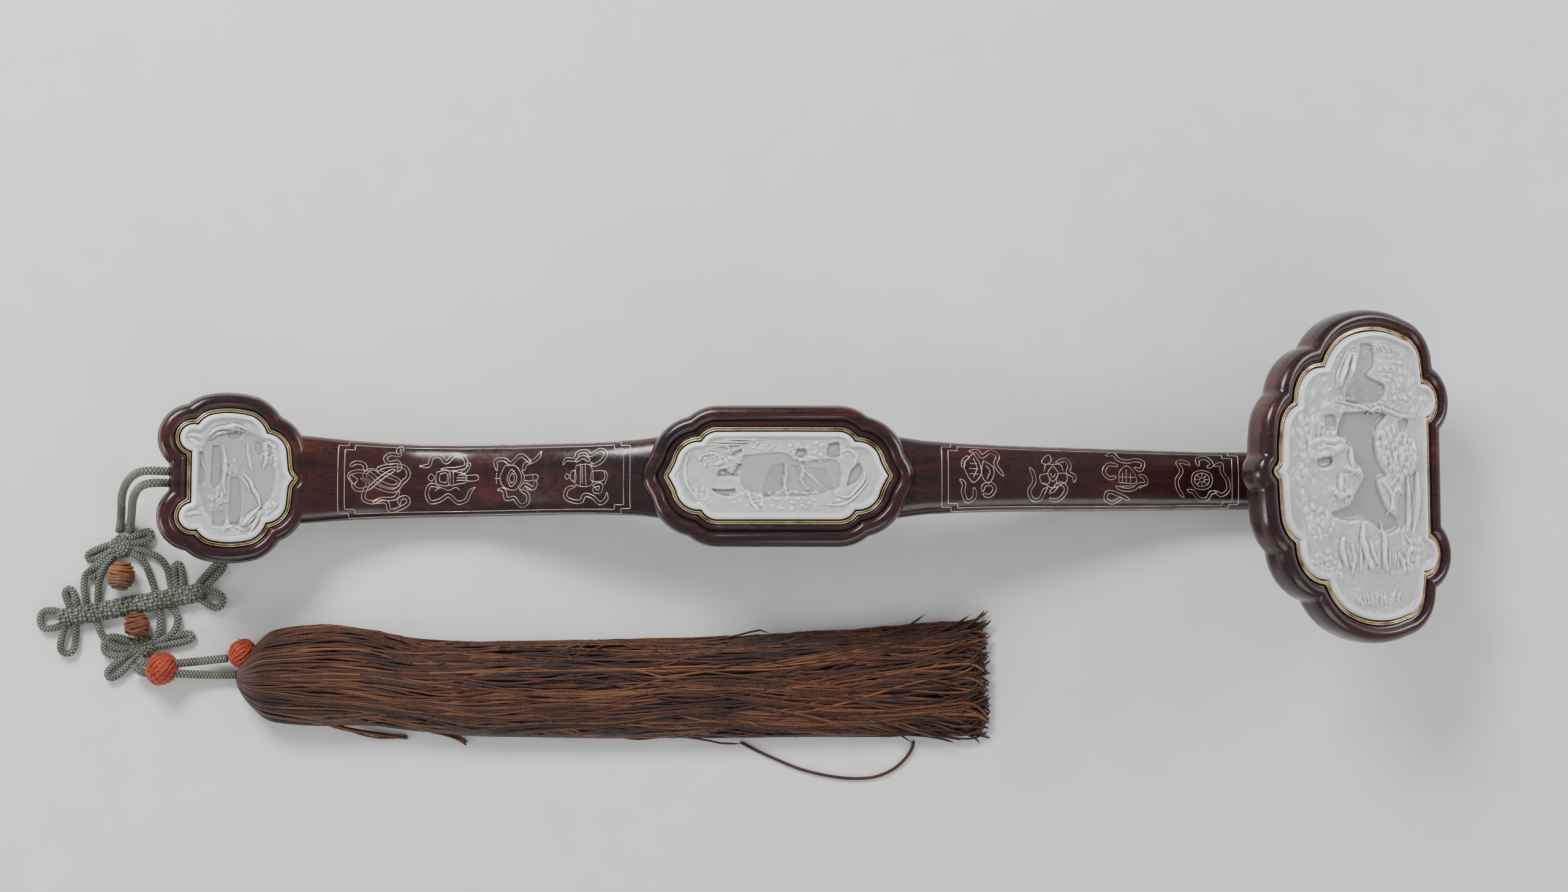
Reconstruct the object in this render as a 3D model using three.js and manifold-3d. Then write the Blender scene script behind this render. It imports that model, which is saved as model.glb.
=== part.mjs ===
// A ruyi sceptre lying on its back, face up: a dark hardwood shaft bent in an S, with a head, a middle
// and a tail frame that each hold a carved white jade plaque inside a metal wire rim, and at the tail
// a silk cord with ornamental knotwork, thread-wrapped beads, two coral knots and a large silk tassel.
// Millimetres, +Z up, +X from the tail to the head. The origin is on the floor, under the middle.

import * as THREE from 'three';
import { mergeVertices } from 'three/addons/utils/BufferGeometryUtils.js';
import Module from 'manifold-3d';

const wasm = await Module();
wasm.setup();

const DEG = Math.PI / 180;

// ---- driving sizes -------------------------------------------------------------------------------

// A plaque's outline is half of a closed line: each row is a point [u, v], the rise of the arc that
// leads to it (outwards is positive) and the number of chords in that arc. It is mirrored across v = 0.
// spine is the line that the outline is measured from, border the width of the wooden frame round it,
// thick the frame's depth, at its centre, tilt its lean towards +X, and bow the sag of its long ends.
const HEAD = {
  at: [189.2, 50], tilt: 30, bow: 0, border: 8, thick: 14, spine: { u: [6, 6], v: 22 },
  half: [
    [-34.8, 0, 0, 0], [-32.4, 2.6, -0.3, 1], [-31.6, 15, 0.2, 2], [-25, 22.8, 1.5, 3],
    [-12.4, 36.3, 4.5, 4], [-1, 47.9, 1.8, 2], [24, 48.3, 2.3, 4], [31.4, 41.5, 1.6, 2],
    [32.5, 33, 0, 1], [34.8, 21.3, 5.8, 5], [34.8, 0, 0, 2],
  ],
};
const MIDDLE = {
  at: [-10, 43], tilt: 0, bow: 3.2, border: 9.6, thick: 12, spine: { u: [-23, 23], v: 0 },
  half: [
    [-38.4, 0, 0, 0], [-35.6, 5.2, -0.1, 1], [-26.8, 11.8, 2.2, 4], [-21.3, 15.3, 0.9, 2],
    [21.3, 15.3, 0, 4], [26.8, 11.8, 0.9, 2], [35.6, 5.2, 2.2, 4], [38.4, 0, -0.1, 1],
  ],
};
const TAIL = {
  at: [-203, 30], tilt: 20, bow: 0, border: 7.5, thick: 11, spine: { u: [0, 0], v: 8 },
  half: [
    [-14.3, 0, 0, 0], [-14.3, 9.2, 0, 1], [-12.3, 18.4, 5.2, 5], [-7.5, 22.2, 0.6, 2],
    [6.5, 21.8, 0.9, 3], [11.4, 15.9, 0.8, 2], [18.4, 8.8, 1.9, 3], [18.9, 3.2, 0, 1],
    [20.9, 0, -0.3, 1],
  ],
};

// Levels of the frame's profile, along the plaque's normal from the crest of the moulding.
const BAND = -1.3;          // the flat band inside the moulding
const LEDGE = -2.4;         // the step that the wire rim lies on
const POCKET = -5.2;        // the floor of the pocket that holds the jade
const WIRE_IN = 0.6;        // the wire rim's inner and outer edge, out from the jade
const WIRE_OUT = 1.7;
const WIRE_TOP = -0.9;
const GAP = 0.3;            // clearance between neighbouring pieces
const JADE_RIM = 0.5;       // the polished rim of a plaque stands this far over the moulding
const JADE_GROUND = -0.7;   // the recessed ground of the carving
const JADE_BEVEL = 1.2;

// The shaft runs from inside the tail frame, under the middle frame, to inside the back of the head:
// [x, height of its centre, lean in degrees, half width, half depth]. Its two low points are flat.
const SHAFT = [
  [-196, 22.0, 20, 17.0, 5.2], [-178, 15.6, 20, 15.6, 5.8], [-166, 11.8, 14, 14.6, 6.5],
  [-152, 8.0, 8, 13.8, 6.8], [-140, 6.8, 0, 13.4, 6.8], [-128, 6.8, 0, 13.2, 6.8],
  [-106, 12.6, -20, 13.0, 6.8], [-84, 21.4, -20, 12.9, 6.8], [-62, 28.2, -12, 13.4, 6.9],
  [-44, 30.8, -5, 15.0, 7.0], [-10, 32.0, 0, 15.0, 7.0], [24, 30.8, 5, 15.0, 7.0],
  [44, 28.2, 10, 13.0, 6.9], [70, 22.6, 14, 11.9, 6.8], [100, 14.9, 14, 11.4, 6.8],
  [128, 8.8, 9, 10.9, 6.8], [148, 6.8, 0, 10.5, 6.8], [160, 6.8, 0, 10.5, 6.8],
  [171, 9.8, -32, 11.2, 7.2], [179, 18.0, -52, 12.6, 8.0], [184, 29.0, -60, 16.0, 10.0],
  [188.6, 39.0, -60, 24.0, 14.5],
];

// The silk cord and what is on it lie on the floor beside the tail.
const CORD_R = 1.5;         // a free strand
const LOOP_R = 1.3;         // the finer cord of the knotwork
const FLOOR = 0.1;          // clearance under everything that lies on the floor
const HOLE = { width: 7.8, height: 3.8, from: [-24.8, -5], to: [2, -12] };

// ---- solids ----------------------------------------------------------------------------------------

function toManifold(geometry) {
  const bare = geometry.clone();
  bare.deleteAttribute('normal');
  bare.deleteAttribute('uv');
  const merged = mergeVertices(bare.index ? bare.toNonIndexed() : bare, 1e-4);
  return new wasm.Manifold(new wasm.Mesh({
    numProp: 3,
    vertProperties: Float32Array.from(merged.attributes.position.array),
    triVerts: Uint32Array.from(merged.index.array),
  }));
}

function fromManifold(body) {
  const mesh = body.getMesh();
  const geometry = new THREE.BufferGeometry();
  geometry.setAttribute('position', new THREE.BufferAttribute(Float32Array.from(mesh.vertProperties), 3));
  geometry.setIndex(Array.from(mesh.triVerts));
  geometry.computeVertexNormals();
  return geometry;
}

// A shape is a geometry, or the solid that an earlier join or cut has made of one.
const solid = (shape) => (shape instanceof THREE.BufferGeometry ? toManifold(shape) : shape);
const join = (shapes) => shapes.map(solid).reduce((a, b) => a.add(b));
const cut = (shape, tools) => tools.map(solid).reduce((a, b) => a.subtract(b), solid(shape));

// A closed skin over rings of equal length. Flat caps close the first and the last ring. Where closed
// is true the last ring joins the first instead, as round a wire rim, and where folded is true the
// rings at the ends have shrunk to a line, so that they close without a cap.
function skin(rings, { closed = false, folded = false } = {}) {
  const n = rings[0].length;
  const position = rings.flat().flatMap((p) => [p.x, p.y, p.z]);
  const index = [];
  const last = closed ? rings.length : rings.length - 1;
  for (let r = 0; r < last; r++) {
    const a = r * n;
    const b = ((r + 1) % rings.length) * n;
    for (let i = 0; i < n; i++) {
      const j = (i + 1) % n;
      index.push(a + i, b + i, b + j, a + i, b + j, a + j);
    }
  }
  if (!closed && !folded) {
    capFaces(rings[0]).forEach(([p, q, s]) => index.push(p, q, s));
    const base = (rings.length - 1) * n;
    capFaces(rings.at(-1)).forEach(([p, q, s]) => index.push(base + p, base + s, base + q));
  }
  const geometry = new THREE.BufferGeometry();
  geometry.setAttribute('position', new THREE.Float32BufferAttribute(position, 3));
  geometry.setIndex(index);
  if (signedVolume(geometry) < 0) {
    geometry.setIndex(index.map((_, k) => index[k - (k % 3) + [0, 2, 1][k % 3]]));
  }
  geometry.computeVertexNormals();
  return geometry;
}

// Triangles over one ring, in the order of the ring. They are worked out in the ring's own plane.
function capFaces(ring) {
  const centre = ring.reduce((s, p) => s.add(p), new THREE.Vector3()).divideScalar(ring.length);
  const normal = new THREE.Vector3();
  ring.forEach((p, i) => {
    const q = ring[(i + 1) % ring.length];
    normal.add(p.clone().sub(centre).cross(q.clone().sub(centre)));
  });
  normal.normalize();
  const along = ring[0].clone().sub(centre).projectOnPlane(normal).normalize();
  const across = normal.clone().cross(along);
  const flat = ring.map((p) => new THREE.Vector2(p.clone().sub(centre).dot(along), p.clone().sub(centre).dot(across)));
  return THREE.ShapeUtils.triangulateShape(flat, []);
}

function signedVolume(geometry) {
  const p = geometry.attributes.position;
  const corner = (k) => new THREE.Vector3().fromBufferAttribute(p, geometry.index.array[k]);
  let sum = 0;
  for (let k = 0; k < geometry.index.count; k += 3) {
    sum += corner(k).dot(corner(k + 1).cross(corner(k + 2)));
  }
  return sum / 6;
}

// A round cord along a smooth line through points.
function cordTube(points, radius, steps, sides = 8) {
  const section = new THREE.Shape(new THREE.EllipseCurve(0, 0, radius, radius).getPoints(sides).slice(0, sides));
  const line = new THREE.CatmullRomCurve3(points.map((p) => new THREE.Vector3(...p)), false, 'centripetal');
  return new THREE.ExtrudeGeometry(section, { extrudePath: line, steps, bevelEnabled: false });
}

// ---- plaque outlines ---------------------------------------------------------------------------------

// Points on the arc from p to q that rises by rise to the left of the way from p to q, without p.
function arcPoints(p, q, rise, chords) {
  const chord = q.clone().sub(p);
  const left = new THREE.Vector2(-chord.y, chord.x).normalize();
  const middle = p.clone().add(q).multiplyScalar(0.5);
  if (Math.abs(rise) < 1e-6) {
    return Array.from({ length: chords }, (_, k) => p.clone().lerp(q, (k + 1) / chords));
  }
  const radius = (chord.lengthSq() / 4 + rise * rise) / (2 * rise);
  const centre = middle.clone().addScaledVector(left, rise - radius);
  const from = p.clone().sub(centre).angle();
  let sweep = q.clone().sub(centre).angle() - from;
  if (rise > 0 && sweep > 0) sweep -= 2 * Math.PI;
  if (rise < 0 && sweep < 0) sweep += 2 * Math.PI;
  return Array.from({ length: chords }, (_, k) => {
    const turn = from + sweep * (k + 1) / chords;
    return new THREE.Vector2(Math.cos(turn), Math.sin(turn)).multiplyScalar(Math.abs(radius)).add(centre);
  });
}

function fullOutline(plaque) {
  const half = [new THREE.Vector2(plaque.half[0][0], plaque.half[0][1])];
  plaque.half.slice(1).forEach(([u, v, rise, chords]) => {
    half.push(...arcPoints(half.at(-1), new THREE.Vector2(u, v), rise, chords));
  });
  const mirrored = half.slice(1, -1).reverse().map((p) => new THREE.Vector2(p.x, -p.y));
  return [...half, ...mirrored];
}

// Distance from a point to a closed line, negative inside it.
function signedDistance(point, line) {
  let best = Infinity;
  let inside = false;
  line.forEach((a, i) => {
    const b = line[(i + 1) % line.length];
    const edge = b.clone().sub(a);
    const t = THREE.MathUtils.clamp(point.clone().sub(a).dot(edge) / edge.lengthSq(), 0, 1);
    best = Math.min(best, point.distanceTo(a.clone().addScaledVector(edge, t)));
    const crosses = (a.y > point.y) !== (b.y > point.y);
    if (crosses && point.x < a.x + (b.x - a.x) * (point.y - a.y) / (b.y - a.y)) inside = !inside;
  });
  return inside ? -best : best;
}

// The outline moved out by offset: each point slides along its ray from the spine until it is there.
function offsetOutline(plaque, offset) {
  const line = fullOutline(plaque);
  return line.map((p) => {
    const foot = spineFoot(plaque, p);
    const ray = p.clone().sub(foot);
    const reach = ray.length();
    ray.normalize();
    let near = 0;
    let far = reach + 40;
    for (let k = 0; k < 40; k++) {
      const t = (near + far) / 2;
      if (signedDistance(foot.clone().addScaledVector(ray, t), line) < offset) near = t;
      else far = t;
    }
    return foot.clone().addScaledVector(ray, near);
  });
}

function spineFoot(plaque, p) {
  const { u, v } = plaque.spine;
  return new THREE.Vector2(THREE.MathUtils.clamp(p.x, u[0], u[1]), THREE.MathUtils.clamp(p.y, -v, v));
}

// A place on a plaque: u towards the head, v across, w out of its face.
function place(plaque, u, v, w) {
  const lean = plaque.tilt * DEG;
  const reach = Math.max(...plaque.half.map((row) => Math.abs(row[0]))) + plaque.border;
  const sag = plaque.bow * (u / reach) ** 2;
  const [x0, z0] = plaque.at;
  return new THREE.Vector3(
    x0 + u * Math.cos(lean) + (w - sag) * Math.sin(lean),
    v,
    z0 - u * Math.sin(lean) + (w - sag) * Math.cos(lean),
  );
}

const ringAt = (plaque, offset, w) => offsetOutline(plaque, offset).map((p) => place(plaque, p.x, p.y, w));

// A body of such rings. A flat one takes flat caps. A bowed one shrinks to its spine, back and front.
function plaqueBody(plaque, rings, back, front) {
  if (!plaque.bow) return skin(rings);
  const [first, last] = [back, front].map((w) => fullOutline(plaque).map((p) => {
    const foot = spineFoot(plaque, p);
    return place(plaque, foot.x, foot.y, w);
  }));
  return skin([first, ...rings, last], { folded: true });
}

// ---- wood --------------------------------------------------------------------------------------------

// A frame: a domed back, a rounded outer wall, the moulding, the flat band, the wire's ledge, the pocket.
function frameBody(plaque) {
  const { border: b, thick: t } = plaque;
  const profile = [
    [-6, -t], [b - 2.6, -t + 2.2], [b, -t + 6.4], [b, -3.2], [b - 1.0, -0.9], [b - 2.6, 0],
    [b - 4.1, BAND + 0.1], [WIRE_OUT + GAP, BAND - 0.1], [WIRE_OUT + GAP - 0.1, LEDGE], [GAP, LEDGE - 0.1],
    [GAP - 0.05, POCKET],
  ];
  const rings = profile.map(([offset, w]) => ringAt(plaque, offset, w));
  return plaqueBody(plaque, rings, -t, POCKET);
}

// The room over a frame's floor, which the shaft has to leave free.
function frameRoom(plaque) {
  const side = plaque.border - 2.9;
  const floor = POCKET - 1.5;
  return plaqueBody(plaque, [ringAt(plaque, side, floor), ringAt(plaque, side, 12)], floor, 12);
}

// A value that follows a row of stations smoothly and never swings past them.
function smoothRow(values) {
  const step = values.slice(1).map((v, i) => v - values[i]);
  const slope = values.map((_, i) => {
    const before = step[Math.max(i - 1, 0)];
    const after = step[Math.min(i, step.length - 1)];
    return before * after <= 0 ? 0 : (2 * before * after) / (before + after);
  });
  return (s) => {
    const i = Math.min(Math.floor(s), values.length - 2);
    const t = s - i;
    const held = (1 + 2 * t) * (1 - t) ** 2 * values[i] + t * t * (3 - 2 * t) * values[i + 1];
    return held + t * (1 - t) ** 2 * slope[i] - t * t * (1 - t) * slope[i + 1];
  };
}

// The shaft's section is a rounded rectangle with a crowned top and a flat underside.
function shaftBody() {
  const sides = 14;
  const columns = [0, 1, 2, 3, 4].map((k) => smoothRow(SHAFT.map((row) => row[k])));
  const power = (value, n) => Math.sign(value) * Math.abs(value) ** (2 / n);
  const rings = [];
  for (let s = 0; s <= SHAFT.length - 1; s += 0.5) {
    const [x, z, lean, halfWidth, halfDepth] = columns.map((column) => column(s));
    const flat = z - halfDepth < 1e-6 && Math.abs(lean) < 1e-6;
    if (flat && s % 1 !== 0) continue;
    const ring = [];
    for (let i = 0; i < sides; i++) {
      const turn = 2 * Math.PI * (i + 0.5) / sides;
      const across = halfWidth * power(Math.cos(turn), 3.2);
      const up = halfDepth * Math.max(power(Math.sin(turn), 2.6) * (turn > Math.PI ? 1.12 : 1), -1);
      ring.push(new THREE.Vector3(
        x + up * Math.sin(lean * DEG),
        across,
        z + up * Math.cos(lean * DEG),
      ));
    }
    rings.push(ring);
  }
  return skin(rings);
}

// The passage for the cord, from the tail's end wall down to its back.
function cordHole() {
  const slot = new THREE.Shape();
  const half = HOLE.width / 2;
  const r = HOLE.height / 2;
  slot.absarc(half - r, 0, r, -Math.PI / 2, Math.PI / 2, false);
  slot.absarc(-half + r, 0, r, Math.PI / 2, 3 * Math.PI / 2, false);
  const end = place(TAIL, HOLE.from[0], 0, HOLE.from[1]);
  const way = place(TAIL, HOLE.to[0], 0, HOLE.to[1]).sub(end);
  const geometry = new THREE.ExtrudeGeometry(slot, { depth: way.length() + 4, bevelEnabled: false, curveSegments: 4 });
  way.normalize();
  const side = new THREE.Vector3(0, 1, 0);
  const frame = new THREE.Matrix4().makeBasis(side, way.clone().cross(side), way);
  geometry.applyMatrix4(frame.setPosition(end));
  return geometry;
}

function woodBody() {
  const shaft = cut(shaftBody(), [frameRoom(TAIL), frameRoom(MIDDLE), frameRoom(HEAD)]);
  const whole = join([shaft, frameBody(TAIL), frameBody(MIDDLE), frameBody(HEAD)]);
  return cut(whole, [cordHole()]);
}

// ---- jade and wire -------------------------------------------------------------------------------------

// A landscape in low relief: each mound is [u, v, half length, half width, turn in degrees, height].
const HEAD_MOUNDS = [
  [-22, -6, 9, 14, 0, 1.0], [-17, 27, 12, 6, 60, 1.3], [2, 42, 14, 6, 0, 1.2], [22, 40, 9, 6, 0, 1.0],
  [28, 22, 6, 10, 0, 1.1], [29, -4, 5, 13, 0, 1.0], [27, -26, 7, 9, 0, 1.1], [16, -40, 13, 7, 0, 1.3],
  [-4, -38, 8, 8, 20, 1.2], [-17, -25, 8, 9, 0, 1.1], [-10, 8, 6, 4, 0, 0.9], [8, 15, 5, 9, 30, 0.8],
  [-8, -8, 4, 6, 0, 0.8],
];
const MIDDLE_MOUNDS = [
  [-27, 2, 7, 6, 0, 1.0], [-14, -9, 11, 4, 0, 1.1], [-12, 8, 8, 5, 20, 1.0], [4, 9, 9, 4, 0, 1.1],
  [8, -8, 10, 4, 0, 1.0], [20, 3, 8, 5, -20, 1.1], [30, -2, 4, 4, 0, 0.9], [-2, 0, 4, 4, 0, 0.7],
];
const TAIL_MOUNDS = [
  [-9, 12, 5, 7, 0, 1.1], [-9, -11, 5, 8, 0, 1.0], [3, 17, 8, 4, 0, 1.1], [5, -17, 8, 4, 0, 1.1],
  [12, 3, 5, 7, 0, 1.0], [-2, 2, 5, 6, 30, 0.8],
];

function reliefHeight(mounds, u, v) {
  const lift = mounds.map(([mu, mv, along, across, turn, height]) => {
    const c = Math.cos(turn * DEG);
    const s = Math.sin(turn * DEG);
    const a = ((u - mu) * c + (v - mv) * s) / along;
    const b = (-(u - mu) * s + (v - mv) * c) / across;
    return height * Math.max(0, 1 - (a * a + b * b) ** 2);
  });
  return Math.max(0, ...lift);
}

// A plaque: straight walls, a bevelled rim, and the carving on rings that shrink towards the spine.
function jadeBody(plaque, mounds) {
  const rings = [
    ringAt(plaque, -0.1, POCKET + GAP), ringAt(plaque, -0.1, JADE_RIM - JADE_BEVEL / 2),
    ringAt(plaque, -JADE_BEVEL, JADE_RIM),
  ];
  const edge = offsetOutline(plaque, -JADE_BEVEL - 1.2);
  [1, 0.75, 0.5, 0.25].forEach((scale) => {
    rings.push(edge.map((p) => {
      const q = spineFoot(plaque, p).lerp(p, scale);
      return place(plaque, q.x, q.y, JADE_GROUND + reliefHeight(mounds, q.x, q.y));
    }));
  });
  return plaqueBody(plaque, rings, POCKET + GAP, JADE_GROUND);
}

function wireRim(plaque) {
  const profile = [[WIRE_OUT, LEDGE + GAP], [WIRE_OUT, WIRE_TOP], [WIRE_IN, WIRE_TOP], [WIRE_IN, LEDGE + GAP]];
  return skin(profile.map(([offset, w]) => ringAt(plaque, offset, w)), { closed: true });
}

// ---- cord, knots and tassel -----------------------------------------------------------------------------

const LIE = CORD_R + FLOOR;

// A point inside the passage, a given depth from its mouth.
function inPassage(depth, y) {
  const mouth = place(TAIL, HOLE.from[0], y, HOLE.from[1]);
  const way = place(TAIL, HOLE.to[0], y, HOLE.to[1]).sub(mouth).normalize();
  return mouth.addScaledVector(way, depth).toArray();
}

// Each strand leaves the passage, arches over the tail's end and runs along the floor to the top knot.
const STRAND_A = [
  inPassage(7, 2.05), inPassage(1.5, 2.05), [-231.2, 2.1, 34.7], [-234.6, 1.9, 34], [-238, 0.8, 31.4],
  [-241.2, -1, 27.4], [-244, -3.2, 22.4], [-246.4, -5.6, 16.8], [-248.2, -8, 11.4], [-249.5, -10.4, 7],
  [-250.4, -12.6, 4.2], [-251, -14.6, 2.6], [-251.4, -16.2, 1.9], [-251.7, -17.7, LIE], [-251.8, -19, LIE],
];
const STRAND_B = [
  inPassage(7, -2.05), inPassage(1.5, -2.05), [-230.6, -2.2, 34.2], [-233.6, -2.7, 33], [-236.4, -3.7, 30],
  [-239, -5.2, 25.6], [-241.2, -6.9, 20.6], [-243, -8.7, 15.6], [-244.5, -10.5, 11], [-245.7, -12.2, 7.2],
  [-246.6, -13.8, 4.6], [-247.2, -15.3, 2.9], [-247.7, -16.7, 2], [-248, -17.9, LIE], [-248.2, -19, LIE],
];

// Knot centres, on the floor, and the way that the flat bar points.
const TOP_KNOT = [-250.6, -23.6];
const LOW_KNOT = [-242.0, -60.2];
const BAR = { from: [-272.5, -50.2], to: [-220.5, -40.4], width: 6.6, height: 5.2 };
const BEAD_UPPER = { at: [-249.6, -34.6], radius: 5.0, length: 11 };
const BEAD_LOWER = { at: [-243.6, -52.4], radius: 4.6, length: 9 };
const CORAL_LARGE = { at: [-233.8, -68.2], radius: 6.4, bore: { width: 8.0, height: 4.2 } };
const CORAL_SMALL = { at: [-205.0, -62.6], radius: 4.6 };
const TASSEL_AT = [-207.0, -72.6];

// Loops that stand out of the knots: [base x, base y, tip x, tip y, width of the loop].
const LOOPS = [
  [-252, -23, -264.2, -28.4, 4.4], [-252, -24, -262.0, -32.4, 4.0], [-248, -22, -238.6, -18.8, 4.6],
  [-228.8, -42.4, -230.4, -28.8, 4.2], [-224, -41, -212.6, -29.0, 4.6], [-222, -41, -212.2, -45.0, 6.6],
  [-267, -48, -270.6, -38.2, 4.6], [-270, -50, -281.2, -50.8, 8.0], [-268, -50, -270.4, -64.0, 6.6],
  [-240, -59.6, -223.0, -56.2, 4.2], [-244, -62, -255.6, -72.0, 5.2], [-244, -61, -257.6, -59.6, 8.0],
];

// Arms that lead from knot to knot round the beads.
const ARMS = [
  [[-249, -24], [-242, -25.4], [-235, -29.6], [-231.6, -42]],
  [[-249, -25], [-242.6, -29.0], [-239.4, -36], [-237.4, -43]],
  [[-252, -25], [-258.6, -30.6], [-263.6, -34.4], [-263.0, -48]],
  [[-252, -25.6], [-256.8, -31.6], [-258.6, -38], [-259.2, -47]],
  [[-234, -44], [-229.6, -49.4], [-231.4, -55.4], [-240, -59.6]],
  [[-236.6, -45], [-235.8, -51], [-236.8, -56], [-241, -60]],
  [[-260, -50], [-256.4, -57], [-250.6, -60.8], [-243, -60.6]],
];

function loopTube([x0, y0, x1, y1, width]) {
  const base = new THREE.Vector2(x0, y0);
  const along = new THREE.Vector2(x1, y1).sub(base);
  const reach = along.length() - LOOP_R;
  along.normalize();
  const across = new THREE.Vector2(-along.y, along.x);
  const points = [[0, 0.15], [0.45, 0.4], [0.82, 0.5], [1, 0]].flatMap(([a, b]) => (b ? [[a, b], [a, -b]] : [[a, 0]]));
  const order = [0, 2, 4, 6, 5, 3, 1].map((k) => points[k]);
  return cordTube(order.map(([a, b]) => {
    const p = base.clone().addScaledVector(along, a * reach).addScaledVector(across, b * (width - LOOP_R));
    return [p.x, p.y, LOOP_R + FLOOR + 0.9 * (1 - a)];
  }), LOOP_R, 7, 5);
}

const armTube = (points) => cordTube(points.map(([x, y], k) => [x, y, LOOP_R + FLOOR + (k % 3 ? 0.3 : 1.2)]), LOOP_R, 3, 5);

// A ball, stretched or flattened, that rests on the floor.
function restingBall([x, y], rx, ry, rz, around = 12, up = 8) {
  const ball = new THREE.SphereGeometry(1, around, up);
  ball.rotateX(Math.PI / 2);
  ball.scale(rx, ry, rz);
  ball.translate(x, y, rz + FLOOR);
  return ball;
}

// The flat bar is a three-ply braid: its two edges and its back bulge at every crossing.
function braidBar() {
  const from = new THREE.Vector2(...BAR.from);
  const to = new THREE.Vector2(...BAR.to);
  const along = to.clone().sub(from);
  const length = along.length();
  along.normalize();
  const across = new THREE.Vector2(-along.y, along.x);
  const plaits = 9;
  const steps = plaits * 2;
  const rings = [];
  for (let i = 0; i <= steps; i++) {
    const bulge = 1 + 0.09 * (i % 2 ? 1 : -1);
    const end = i === 0 || i === steps ? 0.6 : 1;
    const ring = [];
    for (let k = 0; k < 6; k++) {
      const turn = 2 * Math.PI * k / 6;
      const side = BAR.width / 2 * bulge * end * Math.cos(turn);
      const up = BAR.height / 2 * (1 + (bulge - 1) * 0.6) * end * Math.sin(turn) * 1.08;
      const p = from.clone().addScaledVector(along, length * i / steps).addScaledVector(across, side);
      ring.push(new THREE.Vector3(p.x, p.y, Math.max(FLOOR, BAR.height / 2 + FLOOR + up)));
    }
    rings.push(ring);
  }
  return skin(rings);
}

function knotwork() {
  const pieces = [braidBar(), ...LOOPS.map(loopTube), ...ARMS.map(armTube)];
  pieces.push(restingBall(TOP_KNOT, 4.6, 4.0, 2.9, 8, 5), restingBall(LOW_KNOT, 4.8, 4.0, 2.9, 8, 5));
  const room = [
    beadBody(BEAD_UPPER, GAP), beadBody(BEAD_LOWER, GAP), restingBall(CORAL_LARGE.at, 6.7, 6.7, 6.7),
    ...[STRAND_A, STRAND_B, STRAND_C, STRAND_D].map(strandRoom),
  ];
  return cut(join(pieces), room);
}

// A bead wrapped in thread: a barrel with a waist at each row of thread.
function beadBody({ at: [x, y], radius, length }, grow = 0) {
  const rows = 5;
  const profile = [new THREE.Vector2(0, -length / 2 - grow)];
  for (let k = 0; k <= rows; k++) {
    const t = -1 + 2 * k / rows;
    const ridge = k % 2 ? 1 : 0.96;
    profile.push(new THREE.Vector2(radius * ridge * Math.sqrt(1 - 0.42 * t ** 4) + grow, t * (length / 2 - 0.4 + grow)));
  }
  profile.push(new THREE.Vector2(0, length / 2 + grow));
  const bead = new THREE.LatheGeometry(profile, 12);
  bead.translate(x, y, radius + FLOOR + 0.3);
  return bead;
}

// The two lower strands leave the low knot, pass through the large coral knot and run to the tassel.
const STRAND_C = [
  [-242.6, -64.6, 5], [-241.6, -65.3, 5.6], [-240.4, -65.9, 6.1], [-239, -66.3, 6.4], [-237.4, -66.5, 6.5],
  [-234.9, -66.5, 6.5], [-232.5, -66.5, 6.5], [-230.4, -66.5, 6.5], [-228.2, -66.3, 6.3], [-226, -66.1, 6],
  [-223, -65.8, 5.5], [-220, -65.5, 5], [-217.3, -65.2, 4.8], [-214.6, -64.9, 4.6], [-210.1, -64.4, 4.7],
];
const STRAND_D = [
  [-244.9, -66.9, 4.2], [-243.3, -68.2, 5.1], [-241.6, -69.2, 5.7], [-239.7, -69.8, 6.2], [-237.8, -69.9, 6.5],
  [-235.3, -69.9, 6.5], [-232.8, -69.9, 6.5], [-230.4, -69.9, 6.5], [-228.2, -70, 6.2], [-226, -70.1, 5.6],
  [-223, -70.3, 4.6], [-220, -70.4, 3.8], [-217, -70.5, 3.2], [-212, -70.5, 2.9], [-206.9, -70.5, 3.2],
];

// A coral knot is thread wound over itself: ridges that run slantwise round a ball. The large one is
// a sleeve, and both lower strands go through it side by side.
function coralKnot({ at: [x, y], radius, bore }) {
  const around = 12;
  const reach = bore ? 0.62 : 0.82;
  const ringOf = (t, sizeOf) => Array.from({ length: around }, (_, k) => {
    const turn = 2 * Math.PI * k / around;
    const [across, up] = sizeOf(turn);
    return new THREE.Vector3(x + t * radius, y + across, radius + FLOOR + up);
  });
  const outer = [-reach, -reach / 2, 0, reach / 2, reach].map((t) => ringOf(t, (turn) => {
    const r = radius * Math.sqrt(1 - t * t) * (0.94 + 0.06 * Math.cos(4 * turn + 5 * t));
    return [r * Math.cos(turn), r * Math.sin(turn)];
  }));
  if (!bore) return skin(outer);
  const squared = (value) => Math.sign(value) * Math.sqrt(Math.abs(value));
  const inner = [reach, -reach].map((t) => ringOf(t, (turn) => [
    bore.width / 2 * squared(Math.cos(turn)), bore.height / 2 * squared(Math.sin(turn)),
  ]));
  return skin([...outer, ...inner], { closed: true });
}

// A free strand has a step every two diameters, and so has the room that its neighbours leave it.
function strandTube(strand, radius = CORD_R) {
  const line = new THREE.CatmullRomCurve3(strand.map((p) => new THREE.Vector3(...p)), false, 'centripetal');
  return cordTube(strand, radius, Math.ceil(line.getLength() / (4 * CORD_R)));
}
const strandRoom = (strand) => strandTube(strand, CORD_R + GAP);

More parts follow.
